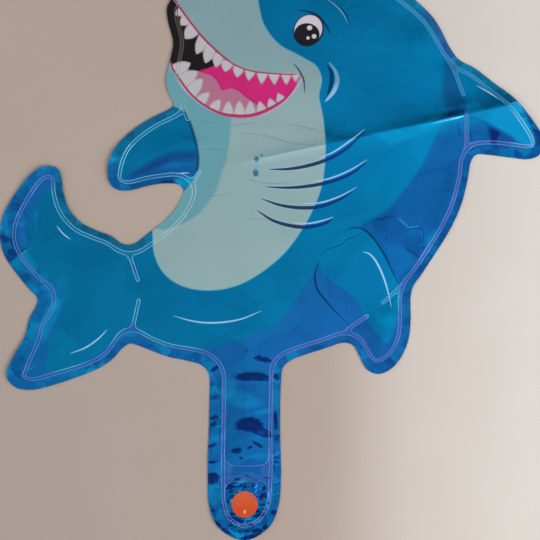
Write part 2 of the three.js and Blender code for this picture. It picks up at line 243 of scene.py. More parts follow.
# Folds in the front film: start, middle and end of the fold's curve, its height, how far it
# reaches to its left and right side, and the share of its height at its start
FOLDS = [
    ((-122, 64), (30, 95), (289, 151), 1.9, 20, 44, 0.2),
    ((60, -112), (62, -40), (140, 14), 0.9, 24, 22, 0.6),
    ((-290, 10), (-240, -30), (-262, -150), 0.8, 18, 16, 0.5),
    ((-200, -110), (-90, -96), (20, -118), 0.5, 30, 24, 0.5),
    ((-300, -20), (-255, -14), (-215, 10), 0.9, 12, 16, 0.8),
    ((-272, -72), (-240, -70), (-225, -92), 0.7, 14, 12, 0.8),
    ((112, 10), (125, 16), (142, 21), 0.7, 8, 10, 0.6),
    ((142, 21), (152, 12), (158, 6), 0.7, 8, 7, 1.0),
    ((130, -6), (150, -14), (170, -29), 0.5, 8, 9, 0.6),
    ((158, 6), (171, 7), (175, -17), 0.5, 7, 8, 1.0),
    ((150, 70), (175, 40), (214, 48), 0.7, 18, 14, 0.6),
    ((120, -96), (140, -92), (158, -94), 0.5, 9, 9, 1.0),
    ((248, 136), (262, 112), (300, 98), 1.1, 12, 18, 1.0),
    ((-170, 66), (-134, 90), (-88, 96), 0.4, 12, 16, 1.0),
    ((-48, 123), (-25, 124), (62, 114), 0.5, 7, 9, 0.6),
    ((-42, 67), (-2, 60), (33, 76), 0.6, 8, 9, 0.6),
    ((-45, 85), (10, 97), (65, 108), 0.8, 9, 12, 0.5),
    ((65, 7), (85, 18), (108, 25), 0.7, 8, 8, 0.6),
    ((-50, 104), (-80, 102), (-100, 108), 0.5, 7, 8, 0.6),
    ((60, -20), (84, 8), (120, 14), 0.6, 9, 10, 0.8),
]

# Small dents in the neck: centre, half length, half width, turn in degrees, height
NECK_DENTS = [
    ((-24, -164), 20, 5, 2, 1.1), ((-26, -222), 17, 9, -12, 1.5), ((-46, -214), 9, 4, 60, 0.6),
    ((-40, -249), 8, 3, 10, 0.7), ((-18, -243), 9, 2.5, -25, 0.6), ((-10, -143), 9, 3, -5, 0.6),
    ((-67, -281), 6, 6, 0, 0.9), ((-66, -216), 6, 2.5, 6, 0.5), ((-67, -241), 6, 2.2, 10, 0.5),
    ((-66, -262), 6, 2.2, 4, 0.5), ((-66, -188), 6, 2.0, 8, 0.4), ((5, -212), 3, 12, 0, 0.5),
    ((-44, -288), 9, 5, 60, 0.6), ((-20, -290), 10, 4, 80, 0.6), ((-6, -296), 8, 4, 50, 0.6),
    ((-62, -328), 12, 6, -50, 1.0), ((-30, -343), 22, 4, 0, 0.7), ((0, -330), 11, 6, 45, 0.9),
]

# How far both films together stand off the floor: centre, radius, height
EDGE_LIFTS = [
    ((285, 150), 40, 4.5), ((-262, 66), 60, 2.0), ((-298, -168), 70, 2.5), ((-186, 72), 46, 2.2),
    ((130, -156), 40, 1.2), ((-140, 335), 80, 2.6), ((-30, -348), 44, 1.8), ((224, 30), 60, 1.6),
    ((312, 100), 30, 1.2), ((-118, 180), 40, 1.2), ((60, 330), 90, 1.5), ((196, 240), 50, 1.0),
]

# Where the film is crumpled most: centre, radius, share
CRINKLED = [
    ((165, 5), 55, 0.7), ((262, 120), 42, 0.6), ((-30, -320), 40, 0.8), ((-30, -215), 60, 0.4),
    ((-286, -10), 42, 0.7), ((-150, 72), 40, 0.4), ((120, -120), 40, 0.25),
]

# The print, and the painted shade on the far flipper. Regions are closed curves through a few points.
REGIONS = {
    "pale": [
        (-197, 342), (-128, 336), (-93, 331), (-65, 324), (-42, 313), (-26, 296), (-18, 278),
        (-14, 257), (-10, 242), (-1, 227), (11, 215), (26, 207), (39, 200), (51, 192),
        (57, 178), (54, 158), (58, 137), (61, 112), (61, 87), (57, 55), (46, 26),
        (33, 3), (14, -22), (-11, -43), (-38, -58), (-66, -64), (-93, -62), (-114, -53),
        (-128, -38), (-135, -19), (-136, -2), (-139, 14), (-174, 22), (-208, 131)],
    "chin_shade": [
        (-140, 206), (-114, 186), (-98, 163), (-76, 145), (-47, 135), (-47, 124), (-48, 109),
        (-50, 96), (-52, 84), (-57, 71), (-60, 60), (-66, 45), (-75, 33), (-84, 23), (-96, 15),
        (-110, 9), (-128, 5), (-174, 39), (-186, 97)],
    "far_flipper": [
        (-105, 143), (-98, 136), (-91, 121), (-86, 103), (-84, 88), (-85, 72), (-91, 61),
        (-99, 51), (-116, 39), (-208, 39), (-208, 154), (-125, 150), (-116, 148), (-111, 146.5)],
    "mouth": [
        (-140, 292), (-122, 282), (-114, 270), (-101.5, 255), (-84, 232.5), (-71.5, 217.5), (-58, 204.5),
        (-43, 194), (-25, 187), (-2, 184), (33, 183), (29, 172), (19, 158), (4, 146),
        (-13, 138), (-33, 136), (-53, 139), (-70, 145), (-88.5, 157.5), (-103.5, 173.5), (-115, 193),
        (-128, 223)],
    "black_gap": [
        (-139, 292), (-111, 283), (-76, 246), (-54, 209), (-57, 196), (-66, 193), (-77, 189),
        (-91, 187), (-99, 191), (-114, 195), (-128, 211)],
    "tongue": [
        (-91, 187), (-79, 185), (-68, 181), (-61, 173), (-57, 165), (-47, 167),
        (-38, 164), (-31, 158), (-24, 153), (-18, 149), (-11, 140), (-36, 129), (-76, 140), (-96, 165)],
    "deep": [
        (424, 150), (314, 149), (288, 149), (268, 146), (240, 141), (221, 136), (207, 131),
        (196, 125), (190, 116), (184, 102), (174, 82), (161, 61), (149, 47), (137, 32), (121, 20),
        (107, 12), (101, 8), (108, 4), (125, -14), (138, -39), (148, -62), (148, -80), (143, -101),
        (138, -118), (133, -125), (125, -119), (114, -106), (106, -91), (99, -79),
        (90.5, -69), (77, -60), (65, -50.5), (57.5, -41.5), (54.5, -34.5), (46.5, -46), (38, -58),
        (30, -73), (19, -87), (8, -101), (-7, -109.5), (-25, -116), (-46, -124), (-76, -132), (-114, -129),
        (-139, -122), (-154, -111), (-160, -101), (-167, -108), (-183, -125),
        (-206, -142), (-229, -154), (-250, -158), (-261, -152), (-256, -133), (-249, -112),
        (-241, -94), (-236, -78), (-241, -64), (-254, -51), (-271, -37), (-283, -25),
        (-285, -10), (-280, 8), (-273, 24), (-266, 38), (-251, 54), (-244, 70), (-243, 96),
        (-381, 131), (-381, -444), (424, -444)],
    "back_margin": [
        (204, 141), (197, 155), (197, 177), (199, 203), (192, 222), (184, 241), (170, 262), (150, 285),
        (115, 310), (79, 326), (33, 361), (171, 361), (240, 269), (214, 204), (219, 160), (222, 143)],
    # the far flipper's lower part: painted shade below the fold across it
    "far_shade": [
        (-208, 108), (-183, 99), (-179, 89), (-176, 73), (-171, 66), (-159, 73),
        (-144, 81), (-128, 91), (-110, 96), (-88, 97), (-79, 95), (-79, 68), (-93, 48),
        (-139, 33), (-208, 33)],
}

# The strokes of each mark: the points of the stroke's curve, and its widest half width
STROKES = {
    "lip": [
        ([(-122, 282), (-111.5, 269.5), (-100, 252.5), (-83.5, 231), (-74.5, 221), (-64.5, 211.5),
          (-55.5, 203.5), (-44, 195)], 1.2),
        ([(-55.5, 203.5), (-44, 195), (-31, 189), (-16, 185.5), (-1, 184), (14, 183), (34, 183)], 0.8),
        ([(-116, 199.5), (-113.5, 190), (-106.5, 179.5), (-99, 168.5), (-89.5, 157.5), (-79, 149),
          (-68, 142.5)], 1.2)],
    "lip_swell": [
        ([(-89.5, 157.5), (-79, 149), (-68, 142.5), (-56, 137.5), (-44, 135.5), (-31, 135),
          (-18, 137), (-6, 141.5), (6, 148), (15, 154.5), (23, 163), (30, 172.5)], 2.1)],
    "slit": [
        ([(-4, 74), (21, 74.5), (45.5, 79), (67, 86.5), (85, 97), (107.5, 117.5)], 2.1),
        ([(-9, 54), (21, 53), (44, 55), (70.5, 60.5), (93, 70), (109, 82.5)], 2.0),
        ([(-13, 41), (10, 33), (32, 30), (54.5, 31), (77, 39), (93, 48)], 2.1),
        ([(-18, 28), (1.5, 15.5), (24, 9), (43, 8), (62, 12.5), (70.5, 17.5)], 2.2)],
    "slit_light": [
        ([(52.5, 86), (70.5, 93.5), (90.5, 107), (107.5, 120.5)], 0.8),
        ([(46, 59.5), (66.5, 63.5), (89, 72.5), (110.5, 85.5)], 0.8),
        ([(34, 35), (54.5, 35.5), (77, 42.5), (98.5, 54)], 0.8),
        ([(24, 13), (42, 12), (58, 15), (72, 19.5)], 0.8)],
    "white_line": [
        ([(-247, 10), (-239.5, 0.5), (-230.5, -6.5)], 0.7),
        ([(-232, -137.5), (-213.5, -130.5), (-199, -120.5), (-188.5, -109.5)], 0.8),
        ([(-113, -94), (-88, -100.5), (-65, -102), (-36, -98), (-11, -88)], 0.9),
        ([(104, -20.5), (111.5, -22.5), (117.5, -28), (123, -37), (129, -50.5), (134, -67),
          (138, -85)], 1.0),
        ([(235, 171), (250, 162), (267, 151)], 0.8),
        # the last stroke is a painted glint at the far flipper's lower edge
        ([(-109, 69), (-101, 70), (-93, 70)], 0.6)],
    "cheek_line": [
        ([(65.5, 197.5), (73.5, 186), (75.5, 176), (72.5, 165.5), (67.5, 158), (61, 151)], 2.5),
        ([(62.5, 270), (74.5, 261.5), (82.5, 252), (88, 241.5)], 0.8)],
    "dark_line": [
        ([(63.5, 193.5), (68.5, 185.5), (69, 177), (67, 167), (64, 158.5)], 2.4),
        ([(66, 268), (77.5, 260.5), (85.5, 251), (90.5, 240)], 0.8),
        ([(25, 196), (32, 187), (37, 176), (38, 160)], 1.1),
        ([(85, 4), (94, 7), (105, 5.5), (112, 0), (120, -9), (129, -23), (136, -37), (141.5, -49),
          (147, -60)], 1.2),
        ([(55, -31), (50, -45), (52, -62), (67, -82), (89, -104)], 1.1),
        ([(29, 257), (39, 255.5), (48, 253), (54.5, 249), (60.5, 242), (65, 235), (68, 228)], 1.5)],
    # painted shade along fine creases of the film; the shading's relief also raises them
    "crease_shade_line": [
        ([(119, 17), (125, 17), (132, 20), (142, 21)], 0.6),
        ([(155, 6), (164, 7), (171, 7), (174, -1), (174, -9)], 0.8),
        ([(172, -13), (175, -17)], 0.9),
        ([(130, 1), (131, -9)], 0.6),
        ([(152, -16), (159, -19), (166, -24), (170, -29)], 0.8),
        ([(107, 4), (95, -3), (87, -5), (79, -12), (70, -15), (59, -20), (55, -26)], 0.7),
        ([(213, 129), (215, 120), (217, 110)], 0.6),
        ([(228, 118), (230, 106)], 0.6),
        ([(240, 84), (243, 79)], 0.8),
        ([(-37, 116), (-7, 113), (22, 105), (52, 102)], 0.6),
        ([(-82, 98), (-66, 98), (-51, 96)], 0.6),
        ([(-82, 130), (-70, 129), (-60, 129)], 0.5),
        ([(-46, 125), (-34, 126), (-19, 129)], 0.6),
        ([(19, 127), (37, 123), (60, 118)], 0.5),
        ([(-31, 65), (-16, 60), (1, 58), (22, 60)], 0.7),
        ([(-84, 46), (-66, 44), (-44, 48)], 0.5),
        ([(-30, 18), (4, 14), (20, -2)], 0.5),
        ([(-300, 36), (-285, 30), (-279, 20)], 0.5),
        ([(-308, -28), (-296, -28), (-286, -22), (-277, -15)], 0.5),
        ([(-262, -66), (-246, -60), (-240, -48)], 0.5),
        ([(-176, -124), (-166, -138)], 0.5)],
    "glint_line": [
        ([(144, 19), (151, 13), (158, 7)], 0.6),
        ([(184, 127), (206, 133), (221, 136)], 1.8),
        ([(-291, -25), (-284, -21), (-279, -17)], 0.6),
        ([(272, 149), (281, 151), (286, 145)], 1.0),
        ([(-100, 24), (-80, 46), (-58, 64)], 0.6)],
    "far_edge": [
        ([(-101, 143), (-95, 131), (-90, 117), (-86, 102), (-84, 85), (-86, 70)], 1.6)],
}

# Marks whose strokes keep one width; all others are pointed at both ends
EVEN_STROKES = "lip", "far_edge"

# The regions that give a weld line its colour
LINE_ZONES = "deep", "pale", "far_flipper", "mouth"

# Teeth: middle of the tooth's root, its tip, half its width at the root, and how round it is
TEETH = [
    # upper row
    ((-103, 256), (-111, 251.5), 5.8, 2.0), ((-98, 246.5), (-104.5, 239.5), 6.4, 2.2),
    ((-90.5, 234.5), (-99.5, 224), 8.0, 2.5), ((-78.5, 222.5), (-86.5, 206), 7.0, 2.6),
    ((-70.5, 211.5), (-76, 195.5), 7.0, 2.5), ((-61, 203), (-64, 190.5), 6.4, 2.2),
    ((-51, 195.5), (-53.5, 185.5), 6.8, 2.0), ((-38, 189), (-39.5, 179), 6.4, 1.8),
    ((-24.5, 186), (-26.5, 175), 6.4, 1.4), ((-10.5, 184), (-11.5, 171), 6.6, 1.4),
    ((3, 183.5), (3.5, 170), 6.8, 1.4), ((17, 183), (17, 170), 6.3, 1.4),
    ((28, 182.5), (27.5, 173.5), 5.0, 1.4),
    # lower row
    ((-109, 188.5), (-92.5, 196.5), 7.8, 2.6), ((-100, 177), (-84, 187), 8.2, 2.6),
    ((-91.5, 164.5), (-78.5, 179), 8.0, 2.4), ((-80, 154), (-70.5, 163), 6.6, 1.8),
    ((-65.5, 144.5), (-58.5, 155.5), 6.4, 1.9), ((-50, 139.5), (-49, 153.5), 6.6, 2.0),
    ((-36.5, 138), (-37, 154), 6.7, 2.0), ((-24, 139), (-24.5, 153.5), 6.3, 2.0),
    ((-11.5, 142), (-14, 153), 6.0, 1.6), ((0.5, 147.5), (-2.5, 156), 5.6, 1.6),
    ((11, 153.5), (7, 162), 5.6, 1.6),
]

# Painted reflections on the slack film's facets: outline, tone from -1 (dark) to 1 (bright), and how softly
# it ends
FACETS = [
    # the dorsal fin, above and below the long crease
    ([(226, 140), (282, 152), (289, 142), (297, 124), (303, 110), (300, 99), (283, 106), (265, 118),
      (254, 124), (245, 129), (231, 135)], 0.75, 2.0),
    ([(270, 149), (282, 152), (290, 141), (283, 138)], 0.25, 1.5),
    ([(284, 154), (297, 137), (310, 116), (316, 102), (308, 100), (298, 122), (289, 142)], -0.3, 1.5),
    ([(190, 133), (206, 141), (222, 144), (222, 139), (205, 134)], -0.75, 3),
    ([(150, 121), (222, 140), (222, 147), (176, 136)], -0.22, 5),
    ([(180, 132), (200, 162), (218, 160), (220, 142)], -0.12, 9),
    ([(249, 123), (262, 117), (257, 102), (252, 103)], -0.9, 1.5),
    ([(256, 118), (277, 111), (272, 99), (256, 102)], -0.3, 6),
    ([(160, 125), (222, 139), (216, 131), (180, 121)], 0.32, 2.5),
    ([(112, 115), (160, 125.5), (200, 135), (198, 127), (182, 119.5), (157, 108.5), (136, 101)], 0.45, 2.5),
    ([(198, 128), (216, 133), (222, 127), (218, 112), (206, 116)], -0.14, 3),
    # the right flank
    ([(119, 17), (132, 20), (142, 21), (155, 6), (152, -2), (130, -2), (115, 7)], -0.26, 1.6),
    ([(155, 6), (164, 7), (171, 7), (174, -9), (170, -29), (152, -16)], -0.2, 2),
    ([(130, -10), (152, -15), (167, -29), (148, -47), (138, -39)], 0.12, 3),
    ([(141, 23), (180, 45), (205, 70), (214, 40), (190, 20), (164, 7)], -0.1, 8),
    ([(176, -4), (188, 4), (194, -4), (180, -14)], 0.25, 3),
    ([(120, -90), (145, -94), (147, -108), (120, -103)], 0.2, 4),
    ([(112, -106), (132, -108), (128, -120), (114, -120)], -0.12, 3),
    ([(100, 60), (150, 100), (196, 120), (170, 80), (130, 30), (105, 25)], 0.08, 12),
    # the end of the tail
    ([(-314, 2), (-303, -2), (-297, 8), (-280, 10), (-275, -8), (-279, -17), (-291, -25), (-303, -35),
      (-314, -20)], -0.42, 1.2),
    ([(-302, 32), (-286, 36), (-276, 22), (-282, 12), (-300, 14)], -0.12, 4),
    ([(-310, 26), (-303, 24), (-303, 2), (-312, 4)], 0.25, 2),
    ([(-303, -35), (-289, -24), (-281, -20), (-276, -28), (-268, -38), (-273, -45), (-292, -41)], 0.34, 1.2),
    ([(-268, -47), (-262, -43), (-255, -49), (-258, -56), (-266, -56)], 0.3, 1.6),
    ([(-283, -56), (-272, -58), (-265, -66), (-273, -71)], 0.4, 1.5),
    ([(-262, -55), (-252, -57), (-244, -68), (-244, -88), (-254, -88), (-256, -68)], 0.22, 2.5),
    ([(-256, -56), (-240, -76), (-230, -70), (-236, -48)], 0.12, 4),
    ([(-300, 52), (-284, 70), (-278, 62), (-292, 44)], 0.4, 2),
    ([(-276, 74), (-262, 79), (-252, 78), (-256, 70), (-270, 66)], 0.18, 2.5),
    ([(-268, -104), (-252, -76), (-238, -74), (-248, -99), (-262, -126)], 0.36, 3),
    ([(-284, -118), (-276, -98), (-266, -104), (-272, -124)], 0.28, 2.5),
    ([(-300, -150), (-292, -136), (-284, -146), (-292, -164)], -0.2, 2.5),
    ([(-226, -166), (-200, -158), (-206, -148), (-232, -157)], 0.16, 3),
    # the far flipper
    ([(-168, 66), (-134, 85), (-115, 93), (-87, 94), (-87, 87), (-115, 84), (-142, 70)], -0.42, 4),
    ([(-140, 74), (-118, 82), (-92, 80), (-120, 76)], 0.25, 2.5),
    ([(-112, 63), (-87, 66), (-89, 58), (-99, 52), (-108, 57)], 0.85, 1.5),
    ([(-126, 62), (-113, 62), (-112, 57), (-126, 57)], -0.9, 1.5),
    ([(-187, 96), (-178, 98), (-176, 84), (-186, 82)], 0.6, 3),
]

# Painted reflections on the neck: small dark and bright patches, where the crinkled foil
# mirrors the room: centre, half length, half width, turn in degrees, tone
PATCHES = [
    ((-24, -164), 19, 5, 2, -1.0), ((-10, -166), 9, 4, -12, -0.7),
    ((-24, -219), 15, 9, -8, -1.0), ((-10, -228), 13, 5, -22, -1.0), ((-40, -222), 5, 6, 40, -0.5),
    ((-40, -249), 7, 3.4, 8, -1.0), ((-25, -245), 4, 1.8, 20, -1.0), ((-16, -242), 8, 2, -30, -1.0),
    ((-35, -257), 2.4, 1.8, 0, -0.9), ((-12, -143), 9, 3, -6, -1.0), ((-4, -146), 6, 2, 10, -0.8),
    ((-68, -281), 8, 7, 0, -1.3), ((-66, -211), 6, 2, 14, -1.0), ((-67, -219), 5, 2.4, 30, -1.0),
    ((-68, -243), 6, 2, 14, -1.0), ((-67, -262), 7, 1.6, 6, -1.0), ((-67, -189), 6, 1.5, 16, -0.8),
    ((-66, -155), 6, 2.4, 34, -1.0), ((-68, -172), 2.4, 3, 0, -0.7), ((5, -214), 2.4, 12, 3, -1.0),
    ((5, -164), 3.4, 5, 20, -0.9), ((2, -172), 3, 3, 0, -0.6), ((4, -262), 4, 1.4, -10, -0.8),
    ((6, -236), 2.4, 5, 0, -0.7), ((-41, -283), 9, 2.4, 34, -0.8), ((-22, -281), 12, 1.6, -28, -0.7),
    ((-5, -281), 7, 2, -10, -0.6), ((-48, -276), 12, 2, 10, -0.5),
    ((-8, -204), 12, 3, 12, 0.35), ((-34, -190), 22, 9, -14, 0.3), ((-50, -176), 9, 14, -20, 0.25),
    ((-14, -256), 16, 5, 8, 0.25), ((-66, -296), 6, 14, 0, 0.5), ((-65, -232), 5, 8, 0, 0.35),
    ((-66, -180), 5, 6, 0, 0.4), ((5, -190), 5, 14, 0, 0.3), ((5, -300), 4, 9, 0, -0.5),
    ((-61.5, -333), 5, 2.6, -40, -1.1), ((-52.5, -341), 7, 2.6, -35, -1.1), ((-20, -347), 18, 2.4, 8, -1.1),
    ((3, -319), 5, 3, 25, -0.9), ((-7, -336), 3.6, 3, 40, -1.1), ((-68, -316), 5, 3, -50, -0.7),
    ((-49.5, -291), 3.6, 1.7, 60, -1.2), ((-35.5, -289), 3.2, 1.3, 95, -1.2),
    ((-30, -289), 3.2, 1.3, 85, -1.2),
    ((-21.5, -288.5), 2.8, 1.3, 80, -1.1), ((-9, -292.5), 3.6, 2.0, 50, -1.2),
    ((-10.5, -312), 5.5, 1.8, 5, -1.1),
    ((-13, -323), 8, 2.2, 18, -1.1), ((-41, -328), 10, 2.6, -18, -1.2), ((-50, -305), 2.4, 5, 10, -0.8),
    ((-60, -322), 3, 6, -20, 0.5), ((-2, -304), 2.6, 7, 0, 0.4), ((-16, -329), 6, 2, 24, 0.5),
]

# Where the foil is crinkled into many small facets: centre, half length, half width, share
CRUSHED = [
    ((-30, -312), 27, 30, 0.62), ((-66, -250), 8, 90, 0.10), ((5, -250), 6, 90, 0.14),
    ((-30, -342), 36, 10, 0.62),
]

# The print's small ovals, laid on in this order: centre, half length, half width and turn in
# degrees; then the ink, how softly it ends, and how dense it is
EYE_RIM = (42.4, 233.6), 19.2, 17.0, 58
PRINTED_OVALS = [
    # three small water drops on the chest with a trail, and a tick at the top of the neck
    (((-17.2, 86), 2.7, 2.9, 0), "drop", 0.25, 1.0),
    (((-18, 70), 3.2, 4.2, 6), "drop", 0.25, 1.0),
    (((-11.5, 90.3), 1.3, 1.3, 0), "drop", 0.25, 1.0),
    (((-17.4, 78), 2.4, 7.0, 0), "drop_trail", 0.5, 0.25),
    (((-29, -133), 0.6, 3.0, 0), "tick", 0.3, 0.8),
    # the eye's rim, white, dark and glints
    (EYE_RIM, "eye_rim", 0.04, 1.0),
    (((42.2, 234.2), 17.4, 15.4, 58), "eye_white", 0.04, 1.0),
    (((40.6, 228.8), 14.6, 12.9, -4), "eye_dark", 0.04, 1.0),
    (((43.7, 236.4), 3.0, 2.7, 0), "eye_glint", 0.2, 1.0),
    (((48.9, 226.6), 2.7, 2.6, 0), "eye_glint", 0.2, 1.0),
    (((41.9, 224.8), 1.9, 1.9, 0), "eye_glint", 0.2, 1.0),
]

# The colours: red, green and blue on the screen, 0 to 255
INKS = {
    # the blues, and the foil's painted reflections, painted shade and painted glints
    "teal_left": (4, 108, 153), "teal_right": (3, 121, 176), "teal_cloud": (4, 94, 138),
    "teal_rim": (24, 90, 118), "deep_left": (14, 98, 160), "deep_right": (14, 86, 156),
    "deep_cloud": (26, 98, 170), "back": (13, 84, 142), "back_rim": (46, 88, 150),
    "flipper": (4, 110, 158), "flipper_shade": (18, 88, 152), "pressed_blue": (76, 168, 212),
    "pressed_violet": (92, 108, 190), "bright": (8, 162, 216), "dark": (8, 26, 92),
    "crease": (6, 40, 96), "glint": (84, 170, 222),
    # the pale belly, with painted shade and painted highlights at its creases
    "belly_dark": (130, 161, 165), "belly_light": (147, 176, 179), "belly_top": (120, 152, 159),
    "chin": (98, 155, 168), "painted_fold_shade": (96, 132, 138), "painted_fold_highlight": (160, 196, 200),
    "belly_crease_shade": (78, 122, 130), "belly_rim": (128, 198, 212),
    # the mouth
    "throat_dark": (186, 26, 104), "throat_light": (206, 34, 122), "tongue_shade": (150, 22, 92),
    "tongue": (174, 108, 136), "gap": (12, 10, 10), "gap_pressed": (62, 54, 53),
    "tooth_seam": (154, 146, 155), "tooth": (184, 181, 184), "halo": (196, 170, 192),
    "lip": (182, 36, 100), "lip_core": (96, 26, 72),
    # the lines and the eye
    "far_edge": (4, 66, 98), "slit_glow": (158, 184, 214), "slit_on_blue": (12, 58, 126),
    "slit_on_pale": (18, 50, 86), "dark_line": (4, 40, 88), "white_line": (156, 204, 238),
    "cheek_high": (104, 154, 188), "cheek_low": (142, 190, 230), "drop": (50, 112, 132),
    "drop_trail": (70, 160, 190), "tick": (8, 34, 84), "eye_rim": (10, 20, 46),
    "eye_white": (200, 194, 208), "eye_dark": (14, 14, 24), "eye_glint": (202, 194, 196),
    # the back film and the raised lines
    "film_dark": (14, 78, 150), "film_light": (22, 100, 178), "film_weld": (110, 140, 200),
    "violet_dark": (74, 112, 188), "violet_light": (112, 134, 208), "line_dark": (84, 160, 200),
    "line_light": (132, 196, 222), "line_right": (64, 146, 200), "line_pale": (164, 198, 204),
    "line_chin": (104, 158, 172), "line_gap": (92, 78, 80), "line_teeth": (170, 166, 170),
    "line_fin_highlight": (140, 204, 230),
    # the label and the floor, with painted light and shade on both
    "label_high": (198, 84, 44), "label_low": (200, 60, 6), "label_mottle": (206, 88, 34),
    "arrow": (250, 190, 150), "floor_in_painted_shadow": (175, 158, 147), "floor_in_painted_light": (206, 198, 192),
    "floor_edge_in_painted_light": (216, 211, 206), "floor_corner_in_painted_shadow": (165, 155, 149), "floor_mottle": (188, 176, 166),
}

# Where colours change, in millimetres: along which axis, where it begins and where it ends
CHANGES = {
    "left_to_right": ("X", -300, 300), "fin_tip_x": ("X", 268, 286), "fin_tip_y": ("Y", 92, 112),
    "up_the_head": ("Y", 120, 215), "under_halo": ("Y", 181, 172),
    "down_the_cheek": ("Y", 178, 160), "line_to_right": ("X", -100, 260),
    "line_to_chin": ("Y", 118, 150), "gap_to_teeth": ("Y", 200, 195),
    # the floor's painted shadow and painted light
    "floor_to_right": ("X", 40, 180), "floor_to_edge": ("X", 150, 320),
    "floor_to_left": ("X", 120, -200), "floor_down": ("Y", 60, -260),
    "label_down": ("Y", LABEL_CENTRE[1] + 10, LABEL_CENTRE[1] - 10),
}

# The plain arrow on the label: centre, half length, half width, turn
ARROW = (LABEL_CENTRE[0], LABEL_CENTRE[1] - 8.5), 1.1, 2.2, 0


def mix(a, b, share):
    """The value that lies a share of the way from a to b."""
    return a + (b - a) * share


def smooth_step(low, high, values):
    """0 below low, 1 above high, and the cubic 3t^2 - 2t^3 between."""
    t = np.clip((values - low) / (high - low), 0, 1)
    return t * t * (3 - 2 * t)


def spline(rows, closed, pieces=LINE_POINTS):
    """A centripetal Catmull-Rom curve through the rows, as pieces points for each span: on
    every span the cubic whose ends and slopes come from its four nearest rows."""
    knots = np.array(rows, float)
    if closed:
        before, start, end, after = (np.roll(knots, k, 0) for k in (1, 0, -1, -2))
    else:
        padded = np.vstack([2 * knots[0] - knots[1], knots, 2 * knots[-1] - knots[-2]])
        before, start, end, after = padded[:-3], padded[1:-2], padded[2:-1], padded[3:]
    root = lambda a, b: np.maximum(np.linalg.norm(b - a, axis=1), 1e-6)[:, None] ** 0.5
    d0, d1, d2 = root(before, start), root(start, end), root(end, after)
    leave = ((start - before) / d0 - (end - before) / (d0 + d1) + (end - start) / d1) * d1
    reach = ((end - start) / d1 - (after - start) / (d1 + d2) + (after - end) / d2) * d1
    t = (np.arange(pieces) / pieces)[None, :, None]
    start, end, leave, reach = (a[:, None] for a in (start, end, leave, reach))
    points = ((2 * t**3 - 3 * t**2 + 1) * start + (t**3 - 2 * t**2 + t) * leave
              + (3 * t**2 - 2 * t**3) * end + (t**3 - t**2) * reach)
    points = points.reshape(-1, knots.shape[1])
    return points if closed else np.vstack([points, knots[-1]])


def spaced(line, step):
    """The closed line's points moved along it to one even spacing."""
    closed = np.vstack([line, line[:1]])
    run = np.concatenate([[0], np.cumsum(np.linalg.norm(np.diff(closed[:, :2], axis=0), axis=1))])
    places = np.linspace(0, run[-1], int(run[-1] / step), endpoint=False)
    return np.column_stack([np.interp(places, run, closed[:, k]) for k in range(line.shape[1])])


def smoothed(line, weight):
    """The closed line's points, each averaged with its two neighbours by its own weight."""
    return (np.roll(line, 1, 0) + weight * line + np.roll(line, -1, 0)) / (weight + 2)


def batches(points):
    """The points in parts, so that no array of points against segments grows large."""
    return np.array_split(points.astype(np.float32), len(points) // BATCH + 1)


def nearest(points, line, closed):
    """For each point, the distance to the line, the foot on it, and the foot's place along
    it counted in the line's own points. Each segment's foot is the point's projection on it,
    kept between its ends, and the nearest of them is taken."""
    start = line[:, :2].astype(np.float32)
    end = np.roll(start, -1, 0)
    if not closed:
        start, end = start[:-1], end[:-1]
    run = end - start
    length2 = (run**2).sum(1) + 1e-12
    gaps, feet, places = [], [], []
    for part in batches(points):
        dx = part[:, :1] - start[:, 0]
        dy = part[:, 1:2] - start[:, 1]
        t = np.clip((dx * run[:, 0] + dy * run[:, 1]) / length2, 0, 1)
        away = (dx - t * run[:, 0]) ** 2 + (dy - t * run[:, 1]) ** 2
        best = away.argmin(1)
        row = np.arange(len(part))
        share = t[row, best]
        gaps.append(np.sqrt(away[row, best]))
        feet.append(start[best] + share[:, None] * run[best])
        places.append(best + share)
    return np.concatenate(gaps), np.concatenate(feet), np.concatenate(places)


def is_inside(points, line):
    """Whether each point is inside the closed line: a level ray from it crosses the line an
    odd number of times."""
    x0, y0 = line[:, 0].astype(np.float32), line[:, 1].astype(np.float32)
    x1, y1 = np.roll(x0, -1), np.roll(y0, -1)
    slope = (x1 - x0) / np.where(y1 == y0, 1, y1 - y0)
    answers = []
    for part in batches(points):
        px, py = part[:, :1], part[:, 1:2]
        crossed = ((y0 > py) != (y1 > py)) & (px < x0 + (py - y0) * slope)
        answers.append(crossed.sum(1) % 2 == 1)
    return np.concatenate(answers)


def inward(points, line):
    """Signed distance into the closed line, the foot on it and the foot's place along it."""
    gap, foot, place = nearest(points, line, True)
    return np.where(is_inside(points, line), gap, -gap), foot, place


def beside(points, line):
    """Signed distance to the open line, positive on its left by the cross product with the
    line's direction there, and the place along it, 0 to 1."""
    gap, foot, place = nearest(points, line, False)
    last = len(line) - 1
    run = np.gradient(line, axis=0)[np.minimum(place.round().astype(int), last)]
    side = run[:, 0] * (points[:, 1] - foot[:, 1]) - run[:, 1] * (points[:, 0] - foot[:, 0])
    return np.where(side > 0, gap, -gap), place / last


def ripple(points, length, seed):
    """Gentle random waves between about -1 and 1: the mean of some sines in random
    directions, times a gain, each with a length near the given one."""
    draw = np.random.default_rng(seed)
    turn = draw.uniform(0, 2 * np.pi, SINES)
    size = 2 * np.pi / (length * draw.uniform(*SINE_LENGTHS, SINES))
    start = draw.uniform(0, 2 * np.pi, SINES)
    phase = points[:, :1] * np.cos(turn) * size + points[:, 1:2] * np.sin(turn) * size + start
    return np.sin(phase).mean(1) * SINE_GAIN


